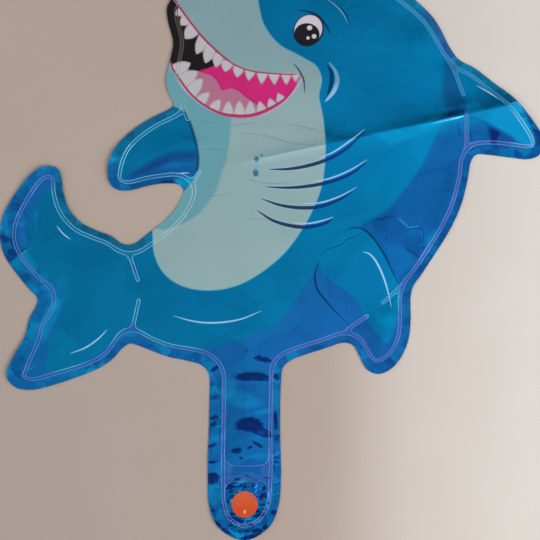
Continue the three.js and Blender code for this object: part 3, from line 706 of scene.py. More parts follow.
def facets(points, pitch, seed):
    """Flat facets with crisp creases: random heights on a lattice of triangles, straight
    between them, read at places that gentle waves have shifted. Each line of the lattice
    lies half a cell further along than the one before it."""
    u = points[:, 0] / pitch + LATTICE_SHIFT * ripple(points, LATTICE_WAVE * pitch, seed + 1)
    v = points[:, 1] / pitch + LATTICE_SHIFT * ripple(points, LATTICE_WAVE * pitch, seed + 2)
    u = u + 0.5 * v
    column, line = np.floor(u).astype(int), np.floor(v).astype(int)
    a, b = u - column, v - line
    table = np.random.default_rng(seed).uniform(-1, 1, (LATTICE, LATTICE))
    at = lambda i, j: table[(column + i) % LATTICE, (line + j) % LATTICE]
    lower = at(0, 0) * (1 - a) + at(1, 0) * (a - b) + at(1, 1) * b
    upper = at(0, 0) * (1 - b) + at(0, 1) * (b - a) + at(1, 1) * a
    return np.where(a > b, lower, upper)


def relief(points, rows, wild=0.0):
    """The sum of a table's fields of facets, each higher by its own share of wild."""
    return sum((height + more * wild) * facets(points, pitch, seed)
               for pitch, height, more, seed in rows)


def swells(points, rows):
    """The sum of round soft bumps, each its height times exp(-(distance / radius)^2)."""
    total = np.zeros(len(points))
    for centre, radius, height in rows:
        total += height * np.exp(-((points - centre) ** 2).sum(1) / radius**2)
    return total


def oval(points, centre, half_length, half_width, turn):
    """How far out of an oval a point lies: 0 at its centre and 1 on its rim."""
    angle = np.radians(turn)
    dx, dy = points[:, 0] - centre[0], points[:, 1] - centre[1]
    u = (dx * np.cos(angle) + dy * np.sin(angle)) / half_length
    v = (dy * np.cos(angle) - dx * np.sin(angle)) / half_width
    return np.hypot(u, v)


# The edge and the welds

edge = spaced(spline(OUTLINE, True, EDGE_POINTS), EDGE_STEP)
chamber_line = spline(CHAMBER_CURVE, False)
pocket_line = spline(POCKET_CURVE, False)


def moved_in(amount, step, rounds):
    """The edge's points moved inside by the amounts along their normals, without those that
    come nearer to another stretch of the edge, then evened and smoothed in some rounds."""
    run = (np.roll(edge, -1, 0) - np.roll(edge, 1, 0))[:, :2]
    run /= np.linalg.norm(run, axis=1)[:, None]
    line = edge[:, :2] + np.column_stack([run[:, 1], -run[:, 0]]) * amount[:, None]
    line = spaced(line[nearest(line, edge, True)[0] > OWN_SHARE * amount], step)
    for _ in range(rounds):
        line = smoothed(line, 2)
    return line


def rim(points):
    """Signed distance in from the edge, and the weld's inset there."""
    depth, _, place = inward(points, edge)
    return depth, np.interp(place, np.arange(len(edge) + 1), np.append(edge[:, 2], edge[0, 2]))


def bar_distance(points):
    """Distance to the nearest weld bar's middle line."""
    return np.min([nearest(points, np.array(ends, float), False)[0] for _, *ends in WELD_BARS], axis=0)


def weld_distance(points):
    """Distance to the middle of the nearest weld, with round inner corners where a bar meets
    the weld line: the soft minimum mix(b, a, h) - k h (1 - h) of both distances."""
    depth, inset = rim(points)
    band = np.abs(depth - inset - HALF_WELD)
    bars = bar_distance(points)
    h = np.clip(0.5 + 0.5 * (bars - band) / BAR_CORNER, 0, 1)
    return mix(bars, band, h) - BAR_CORNER * h * (1 - h)


# Heights


def lift(points, depth):
    """How far both films together stand off the floor: soft bumps at the tips, fading
    inwards as exp(-depth / reach), and a small wave along the rim."""
    near_rim = np.exp(-np.clip(depth, 0, None) / RIM_REACH)
    length, height, seed = RIM_WAVE
    wave = np.clip(0.5 + 0.5 * ripple(points, length, seed), 0, None)
    return swells(points, EDGE_LIFTS) * mix(INNER_LIFT, 1.0, near_rim) + height * wave * near_rim


def fold_place(points, fold):
    """Signed distance to a fold's curve, positive on its left, and the place along it, 0 to
    1. The curve is the parabola that its start, middle and end give."""
    start, middle, end = (np.array(p, float) for p in fold[:3])
    t = np.linspace(0, 1, FOLD_POINTS)[:, None]
    return beside(points, (1 - t) ** 2 * start + 2 * t * (1 - t) * middle + t**2 * end)


def fold_height(points, fold):
    """One fold: a ridge whose height falls off to both sides as exp(-distance / reach), so
    that its top stays a crisp line, and grows along it from its starting share."""
    height, left, right, share = fold[3:]
    away, along = fold_place(points, fold)
    return (height * mix(share, 1.0, smooth_step(0.0, FOLD_GROWN, along))
            * np.exp(-np.abs(away) / np.where(away > 0, left, right)))


def slack(points, depth, inset):
    """How far the front film stands above the weld's level: a slow rise from every weld,
    1 - exp(-distance / reach), with folds, dents, waves and facets over it."""
    x, y = points.T
    free = np.minimum(depth - inset - WELD_WIDTH, bar_distance(points) - HALF_WELD)
    in_neck = (y < NECK_TOP + NECK_BLEND) & (x > NECK_LEFT) & (x < NECK_RIGHT)
    nearest_end = np.where(y < CHAMBER_END, POCKET_SLACK, nearest(points, chamber_line, False)[0])
    free = np.where(in_neck, np.minimum(free, nearest_end), free)
    free = np.clip(free, 0, None)
    height = PUFF_HEIGHT * (1 - np.exp(-free / PUFF_REACH))
    for fold in FOLDS:
        height += fold_height(points, fold) * smooth_step(*FOLD_FADE, depth - inset)
    length, wave, seed = SLACK_WAVE
    loose = smooth_step(0, LOOSE_REACH, free)
    height += loose * relief(points, FRONT_FACETS, swells(points, CRINKLED))
    height += loose * wave * ripple(points, length, seed)
    calm = smooth_step(LABEL_RADIUS, LABEL_RADIUS + LABEL_CALM, np.hypot(*(points - LABEL_CENTRE).T))
    for centre, half_length, half_width, turn, top in NECK_DENTS:
        height += calm * top * np.exp(-oval(points, centre, half_length, half_width, turn) ** 4)
    neck = smooth_step(0, NECK_START, NECK_TOP - y) * in_neck * calm * smooth_step(0, RIM_START, depth)
    height += neck * relief(points / (NECK_STRETCH, 1), NECK_FACETS)
    return np.clip(height, 0, None)


def front_height(points, depth, inset):
    """Height of the front film's top face above the floor."""
    return lift(points, depth) + 2 * FILM + FILM_GAP + slack(points, depth, inset)


def back_height(points, depth, inset):
    """Height of the back film's top face: it lies on the floor, lifted with the rim and with
    shallow facets of its own. These aren't pressed flat at the weld bars and at the neck's
    cross weld and pocket, where they reach up to 0.6 mm into the front film."""
    loose = smooth_step(0, LOOSE_REACH, depth - inset - WELD_WIDTH)
    own = loose * (BACK_RISE + relief(points, BACK_FACETS))
    return lift(points, depth) * mix(1.0, BACK_LIFT, loose) + FILM + np.clip(own, 0, BACK_MOST)


# Meshes


def graded(stops, pitches):
    """Places from the first stop to the last, with one pitch between each two of them."""
    spans = zip(stops[:-1], stops[1:], pitches)
    lines = [np.linspace(a, b, int(np.ceil((b - a) / step)), endpoint=False) for a, b, step in spans]
    return np.append(np.concatenate(lines), stops[-1])


def quads(a, b, c, d):
    """Two triangles for each four corners."""
    return np.vstack([np.column_stack([a, b, c]), np.column_stack([a, c, d])])


def fan(corners):
    """The triangles of one flat face, all from its first corner."""
    return np.column_stack([np.full(len(corners) - 2, corners[0]), corners[1:-1], corners[2:]])


def flat_grid(xs, ys, line):
    """A net of triangles over a closed line's inside. The plain grid's points near the line
    move onto it, and triangles that cross it are cut there. Returns points and triangles."""
    points = np.column_stack([part.ravel() for part in np.meshgrid(xs, ys)])
    depth, foot, _ = inward(points, line)
    cell = np.minimum(*np.meshgrid(np.gradient(xs), np.gradient(ys))).ravel()
    near = np.abs(depth) < SNAP * cell
    points[near] = foot[near]
    depth[near] = 0

    # Two triangles for each square, with every second square's diagonal the other way.
    corner = np.arange(len(points)).reshape(len(ys), len(xs))
    a, b = corner[:-1, :-1].ravel(), corner[:-1, 1:].ravel()
    c, d = corner[1:, 1:].ravel(), corner[1:, :-1].ravel()
    odd = (np.add.outer(np.arange(len(ys) - 1), np.arange(len(xs) - 1)) % 2 == 1).reshape(-1, 1)
    first = np.where(odd, np.column_stack([a, b, c]), np.column_stack([a, b, d]))
    second = np.where(odd, np.column_stack([a, c, d]), np.column_stack([b, c, d]))
    triangles = np.vstack([first, second])

    triangles = triangles[(depth[triangles] > 0).any(1)]
    outside = depth[triangles] < 0
    crossed = outside.any(1)
    whole, cut, outside = triangles[~crossed], triangles[crossed], outside[crossed]
    one_out = outside.sum(1) == 1
    # Turn each cut triangle so that its lone corner comes first.
    lone = np.where(one_out, outside.argmax(1), (~outside).argmax(1))
    cut = cut[np.arange(len(cut))[:, None], (lone[:, None] + np.arange(3)) % 3]
    pairs = np.sort(np.vstack([cut[:, [0, 1]], cut[:, [0, 2]]]), axis=1)
    sides, which = np.unique(pairs, axis=0, return_inverse=True)
    from_depth, to_depth = depth[sides].T
    share = (from_depth / np.where(from_depth == to_depth, 1, from_depth - to_depth))[:, None]
    crossing = nearest(mix(points[sides[:, 0]], points[sides[:, 1]], share), line, True)[1]
    # A side that ends on the line is cut at that end, and any other at a new point.
    number = len(points) + np.arange(len(sides))
    number = np.where(from_depth == 0, sides[:, 0], np.where(to_depth == 0, sides[:, 1], number))
    on_first, on_second = number[which.ravel()].reshape(2, -1)
    tips = np.column_stack([cut[:, 0], on_first, on_second])[~one_out]
    halves = quads(*np.column_stack([on_first, cut[:, 1:], on_second])[one_out].T)
    points = np.vstack([points, crossing])
    triangles = np.vstack([whole, tips, halves])
    distinct = (triangles != np.roll(triangles, 1, 1)).all(1)
    used, triangles = np.unique(triangles[distinct], return_inverse=True)
    return points[used], triangles.reshape(-1, 3)


def mesh_object(name, vertices, triangles, smooth=True):
    """A mesh object from whole arrays, in metres."""
    mesh = bpy.data.meshes.new(name)
    mesh.vertices.add(len(vertices))
    mesh.vertices.foreach_set("co", vertices.astype(np.float32).ravel())
    mesh.loops.add(triangles.size)
    mesh.loops.foreach_set("vertex_index", triangles.astype(np.int32).ravel())
    mesh.polygons.add(len(triangles))
    mesh.polygons.foreach_set("loop_start", np.arange(0, triangles.size, 3, dtype=np.int32))
    mesh.polygons.foreach_set("loop_total", np.full(len(triangles), 3, np.int32))
    mesh.polygons.foreach_set("use_smooth", np.full(len(triangles), smooth))
    mesh.update(calc_edges=True)
    if smooth:
        mesh.set_sharp_from_angle(angle=float(np.radians(SHARP_ANGLE)))
    made = bpy.data.objects.new(name, mesh)
    bpy.context.scene.collection.objects.link(made)
    return made


def film_object(name, flat, triangles, top, thickness):
    """A closed film: the net at its top heights, the same net one thickness lower and turned
    over, and a wall of two triangles for each edge that only one triangle uses."""
    count = len(flat)
    upper = np.column_stack([flat, top])
    lower = np.column_stack([flat, top - thickness])
    sides = np.vstack([triangles[:, [0, 1]], triangles[:, [1, 2]], triangles[:, [2, 0]]])
    _, first, uses = np.unique(np.sort(sides, axis=1), axis=0, return_index=True, return_counts=True)
    u, v = sides[first[uses == 1]].T
    faces = np.vstack([triangles, triangles[:, ::-1] + count, quads(v, u, u + count, v + count)])
    return mesh_object(name, np.vstack([upper, lower]) * MM, faces)


def give(piece, name, values):
    """Store one number for each vertex, for the material to read. A film's two faces and any
    other repeats take the same numbers in turn."""
    layer = piece.data.attributes.new(name, "FLOAT", "POINT")
    layer.data.foreach_set("value", np.resize(values, len(piece.data.vertices)).astype(np.float32))


def region(points, rows):
    """Signed distance into a region: positive inside its closed curve."""
    return inward(points, spline(rows, True, REGION_POINTS))[0]


def stroke(points, rows, half_width, even):
    """Two numbers for a brush stroke: the distance to its curve with a sign for the side, and
    the stroke's half width at that place. The half width is a sine to a power below 1, or even
    with short ends, and falls below zero past the ends and away from the curve."""
    line = spline(rows, False)
    away, along = beside(points, line)
    if even:
        shape = smooth_step(*EVEN_END, np.minimum(along, 1 - along))
    else:
        shape = np.sin(np.pi * np.clip(along, 0, 1)) ** POINTED_POWER
    width = half_width * shape - STROKE_FALL * np.clip(np.abs(away) - STROKE_REACH, 0, STROKE_REACH)
    for end, inner, at_end in [(0, 1, along < END_SHARE), (-1, -2, along > 1 - END_SHARE)]:
        leave = (line[end] - line[inner]) / np.linalg.norm(line[end] - line[inner])
        past = np.clip((points - line[end]) @ leave, 0, STROKE_FAR)
        width = np.where(at_end, width - END_FALL * past, width)
    return np.clip(away, -STROKE_FAR, STROKE_FAR), width


def tooth(points, root, tip, half_width, power):
    """Signed distance, nearly, into a pointed tooth: its half width falls from root to tip as
    1 - (share of the height) ^ power."""
    up = np.subtract(tip, root)
    height = np.linalg.norm(up)
    up = up / height
    dx, dy = (points - root).T
    high = (dx * up[0] + dy * up[1]) / height
    aside = np.abs(dy * up[0] - dx * up[1])
    width = half_width * (1 - np.clip(high, 0, TOOTH_TOP) ** power)
    return np.minimum((width - aside) * TOOTH_SLOPE, (high + TOOTH_ROOT) * height)


def print_marks(points):
    """The print's marks, with painted shade lines, painted glints and the far flipper's painted shade
    among them, one array for each number that the material reads: a region's signed distance, and a
    stroke's distance across and half width."""
    marks = {name: region(points, rows) for name, rows in REGIONS.items()}
    for name, curves in STROKES.items():
        across, width = np.zeros(len(points)), np.full(len(points), -np.inf)
        for rows, half_width in curves:
            new_across, new_width = stroke(points, rows, half_width, name in EVEN_STROKES)
            closer = new_width - np.abs(new_across) > width - np.abs(across)
            across = np.where(closer, new_across, across)
            width = np.where(closer, new_width, width)
        marks[name + "_across"], marks[name + "_width"] = across, width
    teeth = np.sort([tooth(points, *row) for row in TEETH], axis=0)
    marks["teeth"] = np.minimum(teeth[-1], marks["mouth"] + LIP_OVERLAP)
    marks["tooth_seam"] = teeth[-1] - np.clip(teeth[-2], 0, None)
    return marks


def weld_mark(points):
    """Signed distance into the welded film: the line round the balloon, the bars, and the
    band across the neck."""
    x, y = points.T
    band = np.min([x - CHAMBER_LEFT, CHAMBER_RIGHT - x, y - POCKET_TOP, CHAMBER_END - y], axis=0)
    return np.maximum(HALF_WELD - weld_distance(points), band)


def facet_tone(points):
    """The painted reflections of the slack film's facets: the sum of polygons, each with its own tone and
    soft rim.
    """
    return sum(tone * smooth_step(-soft, soft, inward(points, np.array(corners, float))[0])
               for corners, tone, soft in FACETS)


def patch_tone(points):
    """The sum of the neck's small painted reflections, each full inside its oval and gone outside it."""
    return sum(tone * smooth_step(*PATCH_RIM, oval(points, *place)) for *place, tone in PATCHES)


def crushed_share(points):
    """How densely the foil is crinkled into small facets, 0 to 1."""
    return np.max([share * smooth_step(*CRUSHED_RIM, oval(points, *place, 0))
                   for *place, share in CRUSHED], axis=0)


def make_film(name, xs, ys, line, height):
    """One film: a closed sheet over the inside of a line, at the heights of a function."""
    flat, triangles = flat_grid(xs, ys, line)
    depth, inset = rim(flat)
    film = film_object(name, flat, triangles, height(flat, depth, inset), FILM)
    give(film, "margin", inset + HALF_WELD - depth)
    give(film, "crushed", crushed_share(flat))
    return film, flat, triangles


def make_front_film():
    """The printed front film, one closed sheet over the whole outline."""
    (low_x, low_y), (high_x, high_y) = edge[:, :2].min(0) - PITCH, edge[:, :2].max(0) + PITCH
    xs = graded([low_x, MOUTH_LEFT, MOUTH_RIGHT, high_x], [PITCH, FINE_PITCH, PITCH])
    ys = graded([low_y, NECK_TOP + NECK_BLEND, MOUTH_BOTTOM, MOUTH_TOP, high_y],
                [FINE_PITCH, PITCH, FINE_PITCH, PITCH])
    film, flat, triangles = make_film("front_film", xs, ys, edge, front_height)
    crease, crease_share = fold_place(flat, FOLDS[0])
    marks = {**print_marks(flat), "crease": crease, "crease_share": crease_share,
             "facet": facet_tone(flat), "patch": patch_tone(flat), "weld": weld_mark(flat)}
    for name, values in marks.items():
        give(film, name, values)
    return film, flat, triangles


def make_back_film():
    """The plain back film, a little inside the front film's edge."""
    line = moved_in(np.full(len(edge), BACK_INSET), EDGE_STEP, 0)
    low, high = line.min(0) - BACK_PITCH, line.max(0) + BACK_PITCH
    xs, ys = (np.arange(a, b + BACK_PITCH, BACK_PITCH) for a, b in zip(low, high))
    return make_film("back_film", xs, ys, line, back_height)


def bead(line, closed=False, height=LINE_HEIGHT):
    """A thin raised line on the film: a low arch of points, with one more under its middle,
    carried along the path. Its feet are just under the film's face. Returns vertices in
    millimetres and triangles."""
    run = np.roll(line, -1, 0) - np.roll(line, 1, 0) if closed else np.gradient(line, axis=0)
    run /= np.linalg.norm(run, axis=1)[:, None]
    across = np.column_stack([-run[:, 1], run[:, 0]])
    angle = np.linspace(0, np.pi, ARCH_POINTS)
    side = np.append(np.cos(angle), 0.0) * LINE_HALF_WIDTH
    top = np.append(np.sin(angle) * height, 0.0)
    top[[0, -2, -1]] = -LINE_FOOT
    flat = (line[:, None, :] + across[:, None, :] * side[None, :, None]).reshape(-1, 2)
    depth, inset = rim(flat)
    level = front_height(flat, np.abs(depth), inset) + np.tile(top, len(line))
    ring = np.arange(len(flat)).reshape(len(line), len(side))
    here, there = (ring, np.roll(ring, -1, 0)) if closed else (ring[:-1], ring[1:])
    corners = here, there, np.roll(there, -1, 1), np.roll(here, -1, 1)
    faces = quads(*(part.ravel() for part in corners))
    if not closed:
        faces = np.vstack([faces, fan(ring[0]), fan(ring[-1])[:, ::-1]])
    return np.column_stack([flat, level]), faces


def bar_line(root, tip):
    """A line up one side of a weld bar, round its tip and down the other side."""
    length = np.linalg.norm(tip - root)
    along = (tip - root) / length
    across = np.array([-along[1], along[0]])
    half = HALF_WELD - LINE_HALF_WIDTH
    up = np.linspace(BAR_START, length, SIDE_POINTS)[:, None] * along + root
    turn = np.linspace(np.pi / 2, -np.pi / 2, CAP_POINTS)[1:-1, None]
    cap = tip + half * (np.sin(turn) * across + np.cos(turn) * along)
    return np.vstack([up + half * across, cap, up[::-1] - half * across])


def inner_weld_line():
    """The weld's inner line, led round every bar and drawn onto its place in some rounds.
    Returns its points and, for each, the number of its bar, or -1 round the balloon."""
    line = moved_in(edge[:, 2] + WELD_WIDTH - LINE_HALF_WIDTH, INNER_STEP, LINE_ROUNDS)
    owner = np.full(len(line), -1)
    for number, (_, *ends) in enumerate(WELD_BARS):
        ends = np.array(ends, float)
        root, tip = ends[rim(ends)[0].argsort()]
        at = np.linalg.norm(line - root, axis=1).argmin()
        line, owner = np.roll(line, -at, 0), np.roll(owner, -at)
        keep = np.linalg.norm(line - line[0], axis=1) > WELD_WIDTH
        line, owner = line[keep], owner[keep]
        loop = bar_line(root, tip)
        if np.linalg.norm(loop[0] - line[-1]) > np.linalg.norm(loop[-1] - line[-1]):
            loop = loop[::-1]
        line, owner = np.vstack([line, loop]), np.append(owner, np.full(len(loop), number))
    for _ in range(FIT_ROUNDS):
        here = weld_distance(line)
        probes = [weld_distance(line + shift) - here for shift in ([FIT_PROBE, 0], [0, FIT_PROBE])]
        slope = np.column_stack(probes) / FIT_PROBE
        steep = np.maximum((slope**2).sum(1), FIT_SLOPE)
        miss = FIT_SHARE * (here - HALF_WELD + LINE_HALF_WIDTH) / steep
        line = smoothed(line - miss[:, None] * slope, 4)
    return line, owner


def raised_lines(name, beads):
    """One piece of several beads, with the print's zones for its colour."""
    starts = np.cumsum([0] + [len(vertices) for vertices, _ in beads])
    vertices = np.vstack([vertices for vertices, _ in beads])
    faces = np.vstack([faces + start for (_, faces), start in zip(beads, starts)])
    piece = mesh_object(name, vertices * MM, faces)
    for zone in LINE_ZONES:
        give(piece, zone, region(vertices[:, :2], REGIONS[zone]))
    return piece


def make_welds():
    """The pressed edges of the welds, as thin raised lines on the front film."""
    line, owner = inner_weld_line()
    change = np.flatnonzero(owner != np.roll(owner, 1))[0]
    line, owner = np.roll(line, -change, 0), np.roll(owner, -change)
    starts = np.append(np.flatnonzero(owner != np.roll(owner, 1)), len(line))
    closed_line = np.vstack([line, line[:1]])
    runs = [(owner[a], bead(closed_line[a:b + 1])) for a, b in zip(starts, starts[1:])]
    outer = bead(moved_in(edge[:, 2] + LINE_HALF_WIDTH, OUTER_STEP, LINE_ROUNDS), closed=True)
    perimeter = raised_lines("perimeter_weld_lines", [outer] + [run for number, run in runs if number < 0])
    bars = [raised_lines(bar[0] + "_lines", [run for number, run in runs if number == k])
            for k, bar in enumerate(WELD_BARS)]
    neck = raised_lines("neck_cross_weld_lines",
                        [bead(end, height=2 * LINE_HEIGHT) for end in (chamber_line, pocket_line)])
    return perimeter, bars, neck


def make_label():
    """The round valve label: a thin disc of rings that follows the film under it."""
    radius = np.linspace(0, LABEL_RADIUS, LABEL_RINGS + 1)[1:]
    turn = np.arange(LABEL_SPOKES) * 2 * np.pi / LABEL_SPOKES
    x, y = (np.outer(radius, wave(turn)).ravel() for wave in (np.cos, np.sin))
    flat = np.vstack([[LABEL_CENTRE], np.column_stack([x, y]) + LABEL_CENTRE])
    ring = 1 + np.arange(len(x)).reshape(LABEL_RINGS, LABEL_SPOKES)
    after = np.roll(ring, -1, 1)
    middle = np.column_stack([np.zeros_like(ring[0]), ring[0], after[0]])
    outer = quads(*(part.ravel() for part in (ring[:-1], ring[1:], after[1:], after[:-1])))
    top = front_height(flat, *rim(flat)) + LABEL_THICKNESS
    thickness = LABEL_THICKNESS + LABEL_SINK
    return film_object("valve_label_disc", flat, np.vstack([middle, outer]), top, thickness)


# Materials


def linear(levels):
    """A screen colour of 0 to 255, by the usual screen curve, as the renderer's linear one."""
    screen = np.array(levels) / 255
    shares = np.where(screen <= 0.04045, screen / 12.92, ((screen + 0.055) / 1.055) ** 2.4)
    return (*shares.tolist(), 1.0)


class Finish:
    """A material's nodes, with short ways to add the few kinds that these finishes use. A
    colour is given by its name in INKS."""

    def __init__(self, name):
        self.material = bpy.data.materials.new(name)
        self.material.use_nodes = True
        self.tree = self.material.node_tree
        self.shader = self.tree.nodes["Principled BSDF"]
        self.place = self.node("TexCoord").outputs["Object"]

    def set(self, socket, value):
        """A socket takes a number, an ink's name, or another node's output."""
        if isinstance(value, bpy.types.NodeSocket):
            self.tree.links.new(value, socket)
        else:
            socket.default_value = linear(INKS[value]) if isinstance(value, str) else value

    def node(self, kind):
        return self.tree.nodes.new("ShaderNode" + kind)

    def fill(self, node, inputs):
        """Set a node's inputs, by number or name, and give its outputs."""
        for key, value in inputs.items():
            self.set(node.inputs[key], value)
        return node.outputs

    def math(self, kind, a, b=0.0):
        node = self.node("Math")
        node.operation = kind
        return self.fill(node, {0: a, 1: b})[0]

    def joined(self, kind, values):
        """All values taken together by one kind of sum, in turn."""
        total = values[0]
        for value in values[1:]:
            total = self.math(kind, total, value)
        return total

    def times(self, *shares):
        return self.joined("MULTIPLY", shares)

    def most(self, *shares):
        return self.joined("MAXIMUM", shares)

    def other(self, share):
        """What a share leaves of 1."""
        return self.math("SUBTRACT", 1.0, share)

    def attribute(self, name):
        node = self.node("Attribute")
        node.attribute_name = name
        return node.outputs["Fac"]

    def ramp(self, value, low, high, out_low=0.0, out_high=1.0, kind="SMOOTHSTEP"):
        node = self.node("MapRange")
        node.interpolation_type = kind
        return self.fill(node, {0: value, 1: low, 2: high, 3: out_low, 4: out_high})[0]

    def slope(self, value, low, high, out_low=0.0, out_high=1.0):
        """A straight ramp, where the plain one is smooth."""
        return self.ramp(value, low, high, out_low, out_high, "LINEAR")

    def mask(self, name, soft=0.5):
        """1 inside a printed mark and 0 outside, with a narrow soft edge."""
        return self.ramp(self.attribute(name), -soft, soft)

    def into_stroke(self, name):
        """Signed distance into a brush stroke."""
        across = self.math("ABSOLUTE", self.attribute(name + "_across"))
        return self.math("SUBTRACT", self.attribute(name + "_width"), across)

    def stroke(self, name, soft=0.5):
        """1 inside a brush stroke and 0 outside it."""
        return self.ramp(self.into_stroke(name), -soft, soft)

    def blend(self, share, a, b):
        """The colour that lies a share of the way from a to b."""
        node = self.node("Mix")
        node.data_type = "RGBA"
        return self.fill(node, {0: share, 6: a, 7: b})[2]

    def mix(self, share, a, b):
        """The number that lies a share of the way from a to b."""
        return self.fill(self.node("Mix"), {0: share, 2: a, 3: b})[0]

    def ink(self, base, tint, *shares):
        """One colour laid over another, as densely as the product of the shares."""
        return self.blend(self.times(*shares), base, tint)

    def stretched(self, stretch):
        """The place on the object, times a factor along each axis."""
        return self.fill(self.node("Mapping"), {"Vector": self.place, "Scale": stretch})[0]

    def noise(self, scale, detail=2.0, rough=0.5, stretch=(1, 1, 0)):
        inputs = {"Vector": self.stretched(stretch), "Scale": scale, "Detail": detail, "Roughness": rough}
        return self.fill(self.node("TexNoise"), inputs)["Fac"]

    def cells(self, scale, stretch, feature="F1"):
        """Random cells' outputs, of the nearest cell or of the distance to the cells' edges."""
        node = self.node("TexVoronoi")
        node.feature = feature
        return self.fill(node, {"Vector": self.stretched(stretch), "Scale": scale})

    def cell_tones(self, scale, stretch):
        """Two random numbers for each cell, 0 to 1."""
        tones = self.fill(self.node("SeparateColor"), {0: self.cells(scale, stretch)["Color"]})
        return tones[0], tones[1]

    def along(self, change):
        """0 where one of the changes begins and 1 where it ends."""
        axis, start, end = CHANGES[change]
        split = self.fill(self.node("SeparateXYZ"), {0: self.place})
        return self.ramp(split[axis], start * MM, end * MM)

    def inside_oval(self, centre, half_length, half_width, turn, soft=0.04):
        """1 inside an oval of the print and 0 outside it."""
        place = self.node("Mapping")
        place.vector_type = "TEXTURE"
        self.fill(place, {"Vector": self.place, "Location": (centre[0] * MM, centre[1] * MM, 0),
                          "Rotation": (0, 0, float(np.radians(turn))),
                          "Scale": (half_length * MM, half_width * MM, 1.0)})
        flat = self.node("VectorMath")
        flat.operation = "MULTIPLY"
        self.fill(flat, {0: place.outputs[0], 1: (1, 1, 0)})
        size = self.node("VectorMath")
        size.operation = "LENGTH"
        self.fill(size, {0: flat.outputs[0]})
        return self.ramp(size.outputs["Value"], 1 - soft, 1 + soft, 1.0, 0.0)

    def bump(self, height, distance, strength, normal=None):
        """The shading normal over a relief, and over an earlier normal."""
        inputs = {"Height": height, "Distance": distance, "Strength": strength}
        if normal is not None:
            inputs["Normal"] = normal
        return self.fill(self.node("Bump"), inputs)["Normal"]

    def finish(self, colour, metal, rough, normal, specular):
        self.fill(self.shader, {"Base Color": colour, "Metallic": metal, "Roughness": rough,
                                "Normal": normal, "Specular IOR Level": specular})
        return self.material


def foil_bumps(f):
    """The film's fine relief: long soft creases, a grain, the crushed cells of the neck and the
    pressed weld."""
    normal = f.bump(f.noise(16, 3.0, 0.6, (0.6, 1.6, 0)), *CREASE_RELIEF)
    normal = f.bump(f.noise(110, 3.0, 0.55), *GRAIN_RELIEF, normal)
    cracks = f.ramp(f.cells(*CRUSH_CELLS, "DISTANCE_TO_EDGE")["Distance"], 0.0, 0.3)
    normal = f.bump(f.times(cracks, f.attribute("crushed")), *CELL_RELIEF, normal)
    from_weld = f.math("ABSOLUTE", f.attribute("margin"))
    pressed = f.ramp(from_weld, HALF_WELD - 0.8, HALF_WELD + 0.2)
    return f.bump(pressed, *WELD_RELIEF, normal)


def sheen(f):
    """The foil's painted reflections and painted shade: how bright and how dark it is painted in each
    place, beyond what the room lights: the long crease with its painted highlight below and painted
    shade above, the facets, the neck's patches, random cells and the crushed cells. Returns two shares."""
    crease, share = f.attribute("crease"), f.attribute("crease_share")
    below = f.ramp(crease, -0.5, 0.3, 1.0, 0.0)
    facet = f.attribute("facet")
    light = f.times(below, f.slope(crease, -22, 1), f.ramp(share, 0.45, 0.85, 0.0, 0.55))
    light = f.most(light, f.slope(facet, 0.0, 1.0))
    dark = f.times(f.other(below), f.slope(crease, 14, -1))
    dark = f.most(f.times(dark, f.ramp(share, 0.45, 0.85, 0.0, 0.08)), f.slope(facet, 0.0, -1.0))

    # Painted reflections of random cells: small ones on the rim outside the weld, and wide ones all over
    outside = f.ramp(f.attribute("margin"), HALF_WELD, HALF_WELD + 1)
    rim_dark, rim_light = f.cell_tones(*RIM_CELLS)
    wide_dark, wide_light = f.cell_tones(*WIDE_CELLS)
    dark = f.joined("ADD", (dark, f.times(outside, f.ramp(rim_dark, 0.45, 1.0, 0.0, 0.34)),
                            f.ramp(wide_dark, 0.5, 1.0, 0.0, 0.07)))
    light = f.joined("ADD", (light, f.times(outside, f.ramp(rim_light, 0.5, 1.0, 0.0, 0.34)),
                             f.ramp(wide_light, 0.5, 1.0, 0.0, 0.08)))

    # The neck's painted reflections: ragged patches, and some of the crushed cells dark and some bright
    ragged = f.slope(f.noise(150, 3.0, 0.65, (1, 2.4, 0)), 0.25, 0.75, -0.45, 0.45)
    patch, crushed = f.attribute("patch"), f.attribute("crushed")
    spots = f.ramp(f.math("SUBTRACT", ragged, patch), 0.35, 0.85)
    on = f.ramp(crushed, 0.02, 0.2)
    cell_dark, cell_light = f.cell_tones(*CRUSH_CELLS)
    cell_dark = f.ramp(f.math("ADD", cell_dark, f.times(crushed, 0.36)), 1.0, 1.03)
    cell_light = f.ramp(f.math("ADD", cell_light, f.times(crushed, 0.34)), 1.0, 1.04, 0.0, 0.75)
    return f.most(light, patch, f.times(cell_light, on)), f.most(dark, spots, f.times(cell_dark, on))


def fin_tip(f):
    """The tip of the dorsal fin, where the pressed film gets a painted highlight."""
    return f.times(f.along("fin_tip_x"), f.along("fin_tip_y"))


def violet_share(f):
    """Where the pressed film looks violet: on the deep blue, but not at the dorsal fin's tip."""
    return f.times(f.mask("deep", 2), f.other(fin_tip(f)))


